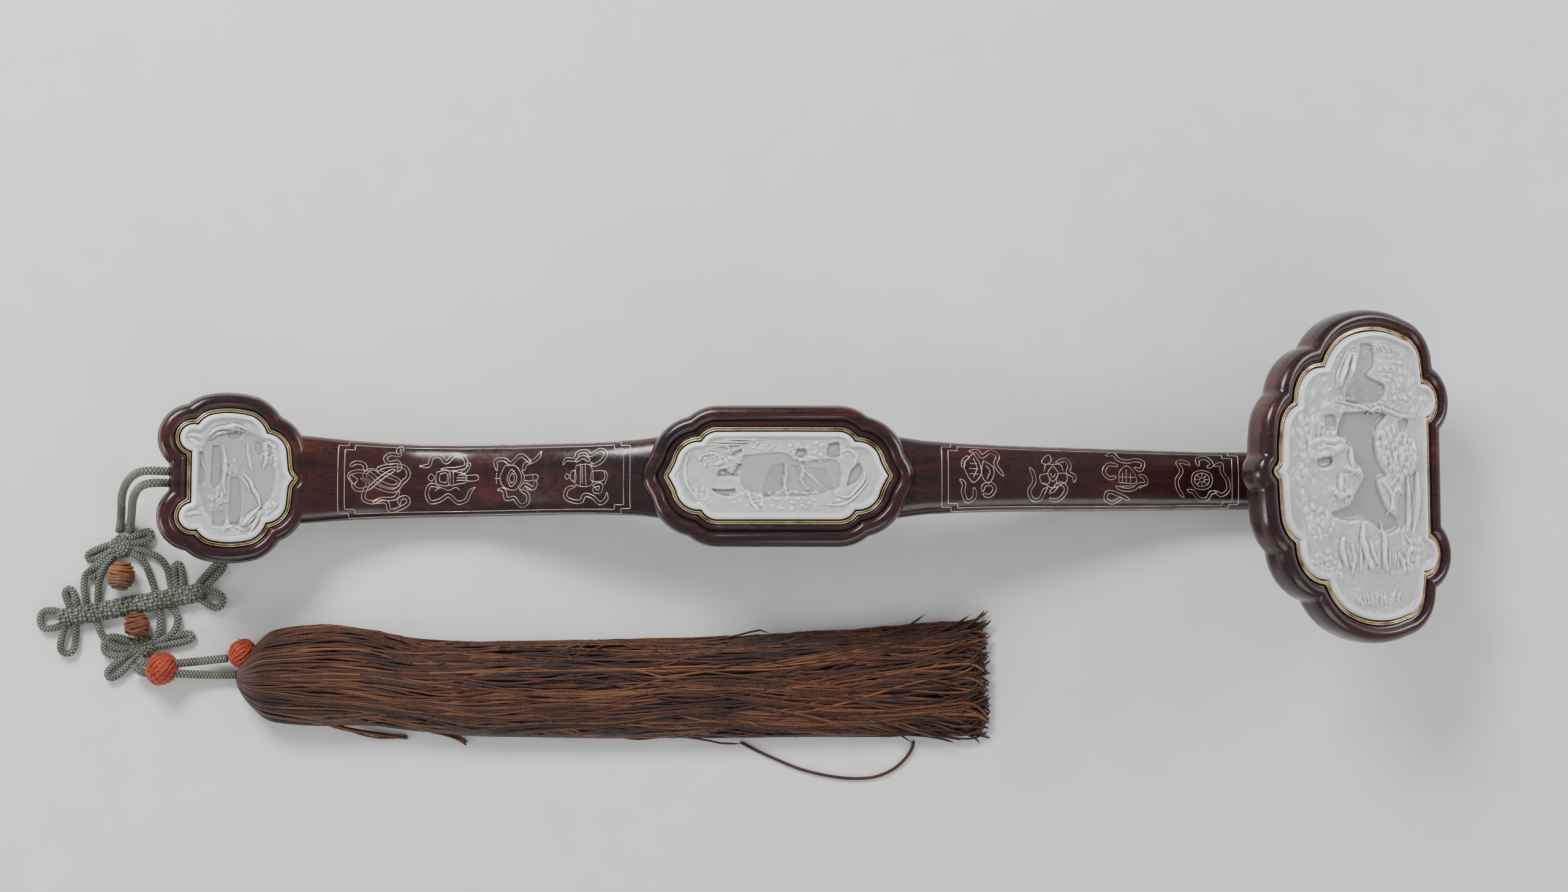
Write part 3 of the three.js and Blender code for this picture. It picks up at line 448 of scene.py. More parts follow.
HEAD_RELIEF = [
    ("level", -1.5, 0.5, [(-4.6, 21.3), (11.3, 22.1), (15.6, 21.3), (11.3, 16.4), (11.3, 5.8), (15.6, 0.1), (11.3, -1.5), (15.6, -11.3), (22.2, -16.1), (15.6, -20.2), (6.9, -16.1), (2.5, -15.3), (-3, -16.1), (-10.7, -13.7), (-1.9, -10.4), (0.3, -7.2), (4.7, 0.1), (0.3, 5), (-1.9, 9.9), (-7.4, 13.2)]),
    ("level", -1.3, 0.4, [(4.1, 45.7), (9.6, 45.7), (10.2, 38.4), (6.9, 35.1), (15.6, 31.1), (13.5, 27), (4.7, 24.6), (-3, 25.4), (0.3, 35.1), (3.6, 41.6)]),
    ("level", -1.2, 0.3, [(-13.4, 20.1), (-8.5, 20.1), (-7.9, 15.6), (-12.3, 15.2)]),
    ("level", -1.5, 0.3, [(-16.7, 5.8), (-10.7, 6.2), (-9.8, 4.2), (-11.2, 2.6), (-16.7, 2.7)]),
    ("level", -1.1, 0.4, [(21.1, 19.7), (26.1, 20.1), (25, 16.4), (22.2, 15.6)]),
    ("level", -0.9, 0.6, [(24.4, 0.1), (28.8, 1.8), (28.2, -8), (22.2, -19.4), (20, -11.3)]),
    ("level", 0.35, 0.4, [(-21.6, 11.5), (-5.2, 12.3), (-4.6, 9.1), (-10.7, 6.6), (-20.5, 5)]),
    ("ridge", 0.7, 2, [(-21.1, 9.9), (-16.1, 11.7), (-10.7, 11.1), (-6.3, 12.2), (-3, 11.4)]),
    ("ridge", 0.5, 1.2, [(-19.4, 7.9), (-13.9, 9.1), (-8.5, 8.7), (-4.1, 9.9)]),
    ("ridge", 0.6, 1.3, [(-17.8, 5.8), (-14.5, 6.6), (-10.1, 5.8)]),
    ("ridge", 0.9, 2.4, [(-1.1, 9.9), (-1.5, 5.8), (-0.8, 2.2)]),
    ("ridge", 0.8, 1.8, [(-4.6, 2.2), (-0.8, 1.4), (3, 1.1)]),
    ("clumps", 0.6, 1.6, 14, [(-5.2, 2.6), (3.6, 2.6), (3, -0.3), (-4.1, -0.3)]),
    ("ridge", 1, 2.6, [(-6.3, 0.1), (-6.7, -3.1), (-7.2, -5.2)]),
    ("ridge", 0.8, 2, [(-11.2, -5.2), (-7.4, -7.2), (-1.3, -6.4)]),
    ("clumps", 0.6, 1.7, 18, [(-13.4, -4.7), (-0.2, -5.6), (-1.3, -9.6), (-10.7, -8.8)]),
    ("clumps", 0.75, 3.2, 46, [(11.3, 16.4), (22.2, 16.4), (29.3, 11.5), (28.8, 3.4), (22.2, -1.5), (13.5, 5), (11.3, 9.9)]),
    ("ridge", 0.8, 1.6, [(12.4, -1.9), (15.6, -4.3), (17.8, -7.2), (17.3, -11.3), (15.6, -13.7)]),
    ("ridge", 0.8, 1.4, [(17.3, -7.2), (20, -4.7), (23.3, -5.6)]),
    ("ridge", 0.5, 1.2, [(15.6, -4.3), (19.5, -1.5), (21.1, 1)]),
    ("clumps", 0.5, 2.2, 26, [(10.2, 37.6), (16.7, 42.5), (22.2, 42.5), (26.6, 35.1), (28.8, 27.8), (22.2, 26.2), (15.6, 27), (17.8, 31.1), (11.3, 34.3)]),
    ("ridge", 0.7, 1.6, [(6.9, 21.3), (11.3, 23.7), (15.6, 22.9), (22.2, 21.3), (28.8, 21.3)]),
    ("ridge", 0.5, 1.4, [(-8.5, 25), (-1.9, 24.4), (6.9, 22.9), (11.3, 21.3)]),
    ("clumps", 0.5, 1.7, 26, [(-8.5, 27), (15.6, 27.8), (22.2, 23.7), (11.3, 21.3), (-7.4, 23.7)]),
    ("streaks", 0.75, 1.5, 13, [(-3, 43.3), (3.6, 45.7), (-10.1, 26.2), (-3, 29.4)]),
    ("streaks", 0.5, 1.2, 7, [(6.9, 47.3), (15.6, 46.5), (10.2, 41.6), (22.2, 43.3)]),
    ("clumps", 0.45, 3.4, 26, [(-24.9, 18), (-13.9, 19.7), (-13.9, 11.5), (-21.6, 9.9), (-22.7, -11.3), (-26, -3.1)]),
    ("clumps", 0.4, 3, 22, [(-22.7, -11.3), (-15, -11.3), (-8.5, -19.4), (-18.3, -24.3), (-22.7, -17.8)]),
    ("ridge", 0.8, 2.6, [(-5.7, -21.8), (-6.3, -25.9), (-4.6, -31.6)]),
    ("ridge", 1, 2.8, [(3.6, -17), (3.4, -22.7), (5.2, -27.5), (6.9, -32.4)]),
    ("ridge", 0.7, 1.8, [(6.9, -22.7), (8, -26.7), (10.2, -30.8)]),
    ("ridge", 0.9, 2.4, [(12.9, -17), (13.7, -22.7), (13.5, -28.4), (14.5, -33.2)]),
    ("ridge", 0.7, 2, [(20, -26.7), (22.2, -30), (22.8, -33.2)]),
    ("ridge", 0.7, 2.2, [(-1.9, -24.3), (-0.8, -29.2), (-1.9, -34.1)]),
    ("streaks", 0.55, 1.3, 12, [(-7.4, -24.3), (25.5, -24.3), (-6.3, -34.1), (24.4, -34.9)]),
    ("streaks", 0.5, 1.5, 11, [(-3, -39.8), (22.2, -38.9), (0.3, -46.3), (20, -46.3)]),
    ("clumps", 0.5, 2.4, 20, [(-21.6, -30), (-11.8, -25.9), (-7.4, -32.4), (-6.3, -35.7), (-16.1, -34.1)]),
    ("ridge", 0.6, 2.4, [(25.5, 0.1), (26.1, -7.2), (25.3, -16.1), (24.4, -19.4)]),
    ("ridge", 0.6, 2.6, [(29.9, 1.8), (30.4, -5.6), (29.3, -13.7), (27.2, -20.2)]),
    ("ridge", 0.5, 2, [(23.9, -21), (26.6, -24.3), (24.4, -28.4), (26.1, -32.4)]),
    ("clumps", 0.45, 3, 16, [(22.2, -22.7), (32.1, -21.8), (33.2, -27.5), (26.6, -35.7), (21.1, -32.4)]),
]
MIDDLE_RELIEF = [
    ("level", -1, 0.35, [(-12.3, 7.1), (2.2, 7.8), (7.5, 5.2), (20.7, 5.2), (21.3, -4.2), (16.7, -6.1), (0.9, -7.5), (-7.1, -6.1), (-12.3, -4.2), (-13.7, 1.8)]),
    ("level", -1.35, 0.15, [(-1.8, 3.5), (2.4, 4.2), (1.9, -1.5), (1.5, -4.2), (-0.5, -6.5), (-4.9, -7.5), (-5.6, -4.8), (-3.8, 0.5)]),
    ("level", -1.3, 0.15, [(4.7, 3.7), (6.8, 3.4), (7.6, 1.5), (7.2, -0.3), (6.1, 1)]),
    ("level", -1.3, 0.15, [(10.4, 3), (16, 2.2), (19, -2.2), (18.7, -5), (15.7, -3.6), (12.1, 0.5)]),
    ("level", -1.3, 0.15, [(6.1, 9.1), (8.8, 9.5), (10.5, 7.8), (8.8, 6.4), (6, 7)]),
    ("level", -1.3, 0.15, [(17.4, 11.1), (21.1, 11.7), (21.2, 6.5), (17, 7.1)]),
    ("level", -1.3, 0.12, [(-21.2, 1.5), (-18.3, 2.5), (-16.3, 0.8), (-14, 4.2), (-12.6, 3.8), (-13.7, 0.8), (-13.7, -0.6), (-21.1, -0.6)]),
    ("level", -1.3, 0.12, [(-23.4, -4), (-15, -4.4), (-15, -6.9), (-18.3, -7.2), (-22.6, -5.5)]),
    ("level", -1.2, 0.15, [(-16.3, 7.8), (-13.7, 9.1), (-12.5, 9.3), (-12.9, 7.7), (-16, 7)]),
    ("level", -1.2, 0.25, [(25.3, 1.8), (28.2, 4.5), (29.6, 1.8), (27.3, -2.2), (24, -3.5)]),
    ("level", -0.45, 0.1, [(-25, -0.8), (-13.7, -0.8), (-13.7, -3.8), (-25, -3.8)]),
    ("ridge", 0.5, 1, [(-27.5, 5.2), (-26.2, 7.1), (-23.6, 7.8), (-20.9, 7.1), (-20.3, 4.5), (-22.9, 3.8), (-24.5, 5.2)]),
    ("ridge", 0.5, 1, [(-20.9, 7.1), (-18.3, 5.8), (-17.6, 3.2), (-20.3, 2.5)]),
    ("ridge", 0.5, 1, [(-22.9, 9.8), (-19.6, 10.5), (-17, 9.5), (-17.6, 7.1)]),
    ("clumps", 0.5, 1.3, 30, [(-28.2, 7.8), (-17.6, 10.5), (-13.7, 7.1), (-16.3, 1.2), (-25.5, 0.5)]),
    ("streaks", 0.5, 0.8, 9, [(-27.5, 10.5), (-21.6, 13.1), (-12.3, 10.5), (-3.1, 12.8)]),
    ("streaks", 0.5, 0.8, 8, [(-9.7, 8.5), (-4.4, 7.8), (-7.1, 12.5), (0.9, 12.1)]),
    ("clumps", 0.55, 1.5, 26, [(3.5, 11.1), (10.1, 12.1), (16.7, 11.8), (16.7, 5.2), (12.7, 4.5), (4.8, 5.2)]),
    ("ridge", 0.6, 1.3, [(2.5, 3.8), (2.8, 0.5), (2.2, -3.5), (3.5, -7.5)]),
    ("ridge", 0.6, 1.2, [(7.5, 5.2), (8.8, 1.8), (8.1, -1.5), (10.1, -4.8)]),
    ("ridge", 0.5, 1, [(8.8, 1.8), (12.1, -0.8), (15.4, -4.2)]),
    ("clumps", 0.6, 1.5, 46, [(-16.3, -6.1), (-8.4, -4.8), (0.9, -6.1), (10.1, -4.2), (23.3, -6.1), (22.6, -10.8), (10.1, -12.1), (-12.3, -12.1), (-17.6, -10.1)]),
    ("ridge", 0.5, 1.2, [(-10.4, -4.8), (-9.7, -8.1), (-7.1, -12.1)]),
    ("ridge", 0.5, 1.2, [(-5.4, -6.8), (-5.7, -9.5), (-4.4, -12.1)]),
    ("ridge", 0.5, 1.1, [(21.3, 7.8), (24.6, 9.1), (27.3, 7.1), (26.6, 3.8)]),
    ("ridge", 0.5, 1.1, [(20, -6.8), (24.6, -7.5), (27.3, -4.8), (29.9, -1.5), (30.6, 2.5)]),
    ("ridge", 0.5, 1.1, [(15.4, -10.1), (22, -10.1), (26.6, -7.5), (31.2, -2.2)]),
    ("ridge", 0.4, 1.2, [(-33.5, 7.1), (-35.1, 1.8), (-34.4, -3.5), (-30.8, -8.1)]),
    ("ridge", 0.4, 1.2, [(-30.2, 9.8), (-32.5, 3.8), (-32, -2.8), (-28.2, -8.1)]),
    ("clumps", 0.45, 1.8, 14, [(-29.5, -4.8), (-24.2, -4.8), (-22.9, -10.1), (-27.5, -10.1)]),
]
TAIL_RELIEF = [
    ("level", -1, 0.6, [(-9.2, 13.3), (-4.4, 16), (3.7, 16.6), (12.3, 11.7), (14.5, 2.5), (12.3, -8.4), (4.8, -13.8), (-8.2, -13.8), (-11.9, -2.9), (-11.4, 7.9)]),
    ("level", -1.5, 0.2, [(-7.4, 11.2), (-5.2, 11.2), (-4.8, -2.9), (-7.1, -4)]),
    ("level", -1.45, 0.2, [(-0.9, 0.3), (1.8, 0.3), (1.8, -17), (-0.6, -17)]),
    ("level", -1.4, 0.3, [(-12.5, 9), (-10.6, 9), (-10.2, -2.4), (-12.2, -2.4)]),
    ("level", -1.4, 0.3, [(-2.5, 16.3), (2.6, 16.3), (2.6, 14.1), (-2.2, 14.1)]),
    ("level", -1.4, 0.3, [(7.5, 13.3), (9.9, 12.2), (9.4, 7.9), (7.5, 9)]),
    ("level", -1.3, 0.3, [(-7.1, -12.2), (-2.8, -12.2), (-3, -17), (-6.6, -17)]),
    ("ridge", 0.8, 1.6, [(-8.7, 14.9), (-6, 17.1), (-2.8, 17.8), (1, 18.5), (4.8, 17.1)]),
    ("ridge", 0.5, 1.2, [(-8.2, 13.3), (-5.5, 15.4), (-0.6, 16.3)]),
    ("clumps", 0.5, 1.5, 16, [(-1.7, 18.7), (4.8, 18.7), (4.8, 16.3), (-1.2, 16.6)]),
    ("ridge", 0.9, 1.5, [(3.3, 1.4), (5.6, -0.8), (7, -4), (8.7, -6.7), (9.5, -10)]),
    ("ridge", 0.6, 1.1, [(2.6, 0.3), (4.8, -2.4), (5.9, -5.1)]),
    ("ridge", 0.8, 1.5, [(9.5, -10), (8, -11.6), (5.3, -13.8), (3.3, -17)]),
    ("ridge", 0.8, 1.4, [(9.5, -12.2), (8, -15.4), (5.9, -19.7)]),
    ("streaks", 0.7, 1, 8, [(2.6, -17), (5.3, -19.2), (7.5, -11.6), (10.2, -14.3)]),
    ("ridge", 0.5, 1.2, [(-10.8, 5.5), (-9.7, 2.5)]),
    ("clumps", 0.5, 1.5, 20, [(-8.7, -7.3), (-4.4, -5.6), (-1.7, -8.4), (-3.9, -11.1), (-8.2, -11.6)]),
    ("clumps", 0.4, 1.6, 16, [(-4.4, 5.7), (2.6, 6.8), (3.2, 2.5), (-2.8, 1.4)]),
    ("ridge", 0.6, 1.8, [(-15.2, 13.3), (-12.5, 11.7), (-11.1, 11.2)]),
    ("ridge", 0.5, 1.4, [(-16.8, 14.4), (-14.1, 14.9), (-10.9, 13.9)]),
    ("ridge", 0.6, 1.6, [(-17.3, -13.8), (-14.1, -12.7), (-11.4, -12.7)]),
    ("ridge", 0.5, 1.6, [(11.3, 11.7), (11.3, 6.8), (10.4, 3.6)]),
    ("clumps", 0.5, 1.8, 16, [(10.2, 13.3), (14.5, 11.2), (14.5, 4.6), (11.3, 5.7)]),
    ("clumps", 0.5, 1.7, 14, [(10.7, -10.5), (16.1, -8.4), (16.6, -12.2), (11.8, -12.7)]),
    ("ridge", 0.5, 1.4, [(-2.8, -18.1), (0.5, -17), (3.7, -18.7)]),
    ("clumps", 0.4, 1.6, 16, [(-9.2, -17), (3.7, -17.6), (2.6, -21.4), (-7.1, -21.4)]),
    ("ridge", 0.45, 1.6, [(-3.9, 11.7), (-2.8, 5.7), (-3.3, -1.9), (-2.8, -5.6)]),
    ("ridge", 0.45, 1.6, [(4.8, 12.2), (5.3, 6.8), (6.4, 2.5)]),
]
RASTER = 0.14


def near_line(grid, line):
    """Distance from each point of a grid to an open line, and how far along it the nearest place is (0 to 1)."""
    line = np.asarray(line, float)
    best = np.full(grid.shape[:-1], 1e9)
    along = np.zeros(grid.shape[:-1])
    lengths = np.linalg.norm(np.diff(line, axis=0), axis=1)
    starts = np.concatenate([[0], np.cumsum(lengths)])
    for a, b, start, length in zip(line, line[1:], starts, lengths):
        edge = b - a
        t = np.clip(((grid - a) @ edge) / (edge @ edge), 0, 1)
        d = np.hypot(*np.moveaxis(grid - a - t[..., None] * edge, -1, 0))
        closer = d < best
        best = np.where(closer, d, best)
        along = np.where(closer, (start + t * length) / starts[-1], along)
    return best, along


def inside_amount(grid, corners, soft):
    """1 inside a closed line and 0 outside it, with a smooth step of the given softness between."""
    loop = catmull([*corners, corners[0]], len(corners) * 8)[:-1]
    d = signed_distance(grid.reshape(-1, 2), loop).reshape(grid.shape[:-1])
    t = np.clip(0.5 - d / (2 * soft), 0, 1)
    return t * t * (3 - 2 * t)


def carving(rows, reach, ground, seed):
    """Height of a plaque's carving on a raster, and how far each place stands over its surroundings, which the jade's
    colour turns into painted highlights and painted shade.

    Each row lifts or lowers what lies under it."""
    dice = np.random.default_rng(seed)
    u = np.arange(-reach[0], reach[0], RASTER)
    v = np.arange(-reach[1], reach[1], RASTER)
    height = np.full((len(u), len(v)), float(ground))
    grid = np.stack(np.meshgrid(u, v, indexing="ij"), -1)

    def window(points, pad):
        lo, hi = np.min(points, 0) - pad, np.max(points, 0) + pad
        i = np.clip(((lo + reach) / RASTER).astype(int), 0, None)
        j = ((hi + reach) / RASTER).astype(int) + 1
        return slice(i[0], j[0]), slice(i[1], j[1])

    def ridge(amount, width, line, taper=0.6):
        line = catmull(line, 24)
        part = window(line, width)
        d, t = near_line(grid[part], line)
        wide = width / 2 * (1 - taper * np.abs(2 * t - 1) ** 2)
        body = np.clip(1 - (d / wide) ** 2, 0, 1) ** 0.7
        cut = np.clip(1 - (np.abs(d / wide - 1.25) / 0.45) ** 2, 0, 1)
        height[part] += amount * body - 0.18 * cut

    for kind, amount, *rest in rows:
        if kind == "level":
            soft, corners = rest
            part = window(corners, 2)
            m = inside_amount(grid[part], corners, soft)
            height[part] += (amount - height[part]) * m
        elif kind == "ridge":
            ridge(amount, *rest)
        elif kind == "clumps":
            size, count, corners = rest
            lo, hi = np.min(corners, 0), np.max(corners, 0)
            spots = []
            for _ in range(4000):
                spot = dice.uniform(lo, hi)
                if len(spots) == count:
                    break
                if signed_distance(spot[None], np.asarray(corners, float))[0] < 0 and all(
                        math.dist(spot, other) > size * 0.62 for other in spots):
                    spots.append(spot)
            for spot in spots:
                r = size * dice.uniform(0.42, 0.72)
                turn, squash = dice.uniform(0, math.pi), dice.uniform(0.55, 0.95)
                part = window([spot, spot], r * 1.3)
                p = grid[part] - spot
                x = p[..., 0] * math.cos(turn) + p[..., 1] * math.sin(turn)
                y = (p[..., 1] * math.cos(turn) - p[..., 0] * math.sin(turn)) / squash
                d = np.hypot(x, y) / r
                fan = 0.12 * np.cos(np.arctan2(y, x) * 7 + dice.uniform(0, 6)) * np.clip(d, 0, 1)
                height[part] += amount * dice.uniform(0.5, 1) * (np.clip(1 - d ** 2.4, 0, 1) ** 0.8 * (1 + fan)
                                                                 - 0.2 * np.clip(1 - (np.abs(d - 1.12) / 0.2) ** 2, 0, 1))
        else:
            width, count, ends = rest
            a0, a1, b0, b1 = (np.array(p, float) for p in ends)
            for k in range(count):
                f = (k + 0.5) / count + dice.uniform(-0.3, 0.3) / count
                start, end = a0 + (a1 - a0) * f, b0 + (b1 - b0) * (f + dice.uniform(-0.5, 0.5) / count)
                start = start + (end - start) * dice.uniform(0, 0.25)
                end = end - (end - start) * dice.uniform(0, 0.25)
                bend = (start + end) / 2 + dice.uniform(-0.35, 0.35, 2) * width
                ridge(amount * dice.uniform(0.6, 1), width * dice.uniform(0.7, 1.1), [start, bend, end], 0.8)
    # rough, chiselled ground: three sizes of soft bumps, weaker in the deep places
    rough = sum(a * soft_noise(height.shape, size / RASTER, dice) for a, size in ((0.13, 3.4), (0.09, 1.5), (0.05, 0.7)))
    height += rough * np.clip((height + 1.5) / 0.9, 0.12, 1)
    crest = height - blurred(height, int(0.9 / RASTER))
    return height, crest


def blurred(values, reach):
    """The mean over a square window, worked out twice from running sums."""
    for _ in range(2):
        for axis in (0, 1):
            pad = [(reach + 1, reach) if a == axis else (0, 0) for a in (0, 1)]
            total = np.cumsum(np.pad(values, pad, mode="edge"), axis)
            n = 2 * reach + 1
            values = (np.take(total, range(n, total.shape[axis]), axis)
                      - np.take(total, range(total.shape[axis] - n), axis)) / n
    return values


def soft_noise(shape, size, dice):
    """Noise from -1 to 1 whose bumps are size cells across: coarse random values, smoothly joined up."""
    coarse = dice.uniform(-1, 1, (int(shape[0] / size) + 3, int(shape[1] / size) + 3))
    a, b = np.arange(shape[0])[:, None] / size, np.arange(shape[1])[None, :] / size
    i, j = a.astype(int), b.astype(int)
    f, g = (t * t * (3 - 2 * t) for t in (a - i, b - j))
    return ((coarse[i, j] * (1 - f) + coarse[i + 1, j] * f) * (1 - g)
            + (coarse[i, j + 1] * (1 - f) + coarse[i + 1, j + 1] * f) * g)


def raster_value(height, reach, u, v):
    """The raster's height at any place, from the four nearest cells."""
    a = np.clip((u + reach[0]) / RASTER, 0, height.shape[0] - 1.001)
    b = np.clip((v + reach[1]) / RASTER, 0, height.shape[1] - 1.001)
    i, j = a.astype(int), b.astype(int)
    f, g = a - i, b - j
    return ((height[i, j] * (1 - f) + height[i + 1, j] * f) * (1 - g)
            + (height[i, j + 1] * (1 - f) + height[i + 1, j + 1] * f) * g)


def jade_plaque(name, plaque, rows, rings, seed):
    """A plaque of jade: a flat underside, a round edge, a raised rim, and the carving within the rim.

    The rings are the outline moved in by steps, and they close on the line that the rays start from.
    Height is the rim's step down to the ground, plus the carving faded in over 1.5 mm inside the rim."""
    reach = (max(abs(r[0]) for r in plaque["half"]) + 4, max(abs(r[1]) for r in plaque["half"]) + 4)
    carved, crest = carving(rows, reach, JADE_GROUND + 0.25, seed)
    under = [(-0.9, -4.6), (-0.25, -4.6), (-0.02, -4.3), (0.0, -0.75), (-0.12, -0.2), (-0.4, 0.18), (-0.85, 0.42), (-1.4, JADE_RIM)]
    skins = [ring(plaque, d, w) for d, w in under]
    # the rounded edge and underside take the rim's height for the depth tone and a raised crest value: a painted
    # highlight all round the plaque's edge
    deep = [np.full(len(plaque["foot"]), 0.5) for _ in under]
    painted_crest_light = [np.full(len(plaque["foot"]), 0.25) for _ in under]
    edge = offset(plaque, -1.4)
    for f in np.linspace(0, 1, rings)[1:]:
        p = edge + (plaque["foot"] - edge) * f
        d = -signed_distance(p, plaque["coarse"]) if f < 0.999 else np.full(len(p), 9.0)
        t = np.clip((d - 1.6) / 0.7, 0, 1)
        inner = t * t * (3 - 2 * t)
        step = JADE_RIM + (JADE_GROUND + 0.45 - JADE_RIM) * inner
        h = raster_value(carved, reach, p[:, 0], p[:, 1])
        fade = np.clip((d - 1.8) / 1.2, 0, 1)
        w = step * (1 - fade) + h * fade
        skins.append(placed(plaque, p[:, 0], p[:, 1], w))
        # the next two lists carry the height into the jade's painted shade in the deep carving, and the crest into
        # painted highlights on ridges and painted shade in crevices
        deep.append(w)
        painted_crest_light.append(raster_value(crest, reach, p[:, 0], p[:, 1]) * fade)
    around = len(plaque["foot"])
    verts = np.concatenate([s.reshape(-1, 3) for s in skins])
    quads = grid_faces(len(skins), around)
    if signed_volume(verts - verts.mean(0), quads) < 0:
        quads = quads[:, ::-1]
    base = list(range(around))
    normal = np.cross(verts[1] - verts[0], verts[around // 2] - verts[0])
    faces = quads.tolist() + [base if normal[2] < 0 else base[::-1]]
    obj = new_object(name, verts, faces)
    for label, values in (("relief", deep), ("crest", painted_crest_light)):
        attribute = obj.data.attributes.new(label, "FLOAT", "POINT")
        attribute.data.foreach_set("value", np.concatenate(values).astype(np.float32))
    import bmesh
    bm = bmesh.new()
    bm.from_mesh(obj.data)
    bmesh.ops.remove_doubles(bm, verts=bm.verts, dist=2e-6)
    bmesh.ops.dissolve_degenerate(bm, edges=bm.edges, dist=1e-7)
    bmesh.ops.recalc_face_normals(bm, faces=bm.faces)
    bm.to_mesh(obj.data)
    bm.free()
    return obj


def wire_rim(name, plaque):
    """Two round wires side by side round a plaque, one skin: the section is a double hump over a flat foot."""
    section = [(0.5, -2.3), (0.5, -1.1), (0.56, -0.88), (0.7, -0.78), (0.84, -0.88), (0.9, -1.1), (0.94, -1.9), (1.26, -1.9),
               (1.3, -1.1), (1.36, -0.88), (1.5, -0.78), (1.64, -0.88), (1.7, -1.1), (1.7, -2.3)]
    skins = [ring(plaque, d, w) for d, w in section]
    return skin(name, skins, closed=True)


# ---- wire inlay -----------------------------------------------------------------------------------------

class Inlay:
    """Round wires let into the shaft's top: a line in x and y, laid on the surface by looking down on it."""

    def __init__(self, body):
        graph = bpy.context.evaluated_depsgraph_get()
        self.tree = BVHTree.FromObject(body, graph)
        self.verts, self.faces, self.count = [], [], 0

    def height(self, x, y):
        hit = self.tree.ray_cast(Vector((x * MM, y * MM, 0.2)), Vector((0, 0, -1)))
        return hit[0].z / MM if hit[0] else 0.0

    def wire(self, line, width=0.42, step=0.55, proud=0.06):
        line = np.asarray(line, float)
        count = max(2, int(round(line_length(line) / step)) + 1)
        p = resampled(line, count)
        closed = np.linalg.norm(p[0] - p[-1]) < 0.05
        z = np.array([self.height(*q) for q in p])
        tangent = np.gradient(np.column_stack([p, z]), axis=0)
        tangent /= np.linalg.norm(tangent, axis=1, keepdims=True)
        side = np.cross(tangent, (0, 0, 1.0))
        side /= np.linalg.norm(side, axis=1, keepdims=True)
        up = np.cross(side, tangent)
        c = np.column_stack([p, z]) + up * (proud - width * 0.3)
        section = [(0.5, -0.35), (0.46, 0.1), (0.22, 0.3), (-0.22, 0.3), (-0.46, 0.1), (-0.5, -0.35)]
        rings = np.stack([c + side * a * width + up * b * width for a, b in section], 1)
        if closed:
            rings = rings[:-1]
        rows, n = rings.shape[:2]
        quads = grid_faces(rows, n, closed, self.count)[:, ::-1]
        self.faces += quads.tolist()
        if not closed:
            self.faces += [[self.count + k for k in range(n)], [self.count + (rows - 1) * n + k for k in range(n)][::-1]]
        self.verts.append(rings.reshape(-1, 3))
        self.count += rows * n

    def finish(self, name):
        return recalculated(new_object(name, np.concatenate(self.verts), self.faces))


def circle(cx, cy, r, start=0, sweep=360, squash=1.0, count=None):
    count = count or max(8, int(abs(sweep) / 12))
    t = (start + np.linspace(0, sweep, count)) * DEG
    return np.stack([cx + r * np.cos(t), cy + r * squash * np.sin(t)], -1)


def bent(*points):
    return catmull(points, 4 * len(points) + 6)


def both(line):
    """A line and its mirror image across the emblem's upright."""
    line = np.asarray(line, float)
    return [line, line * (-1, 1)]


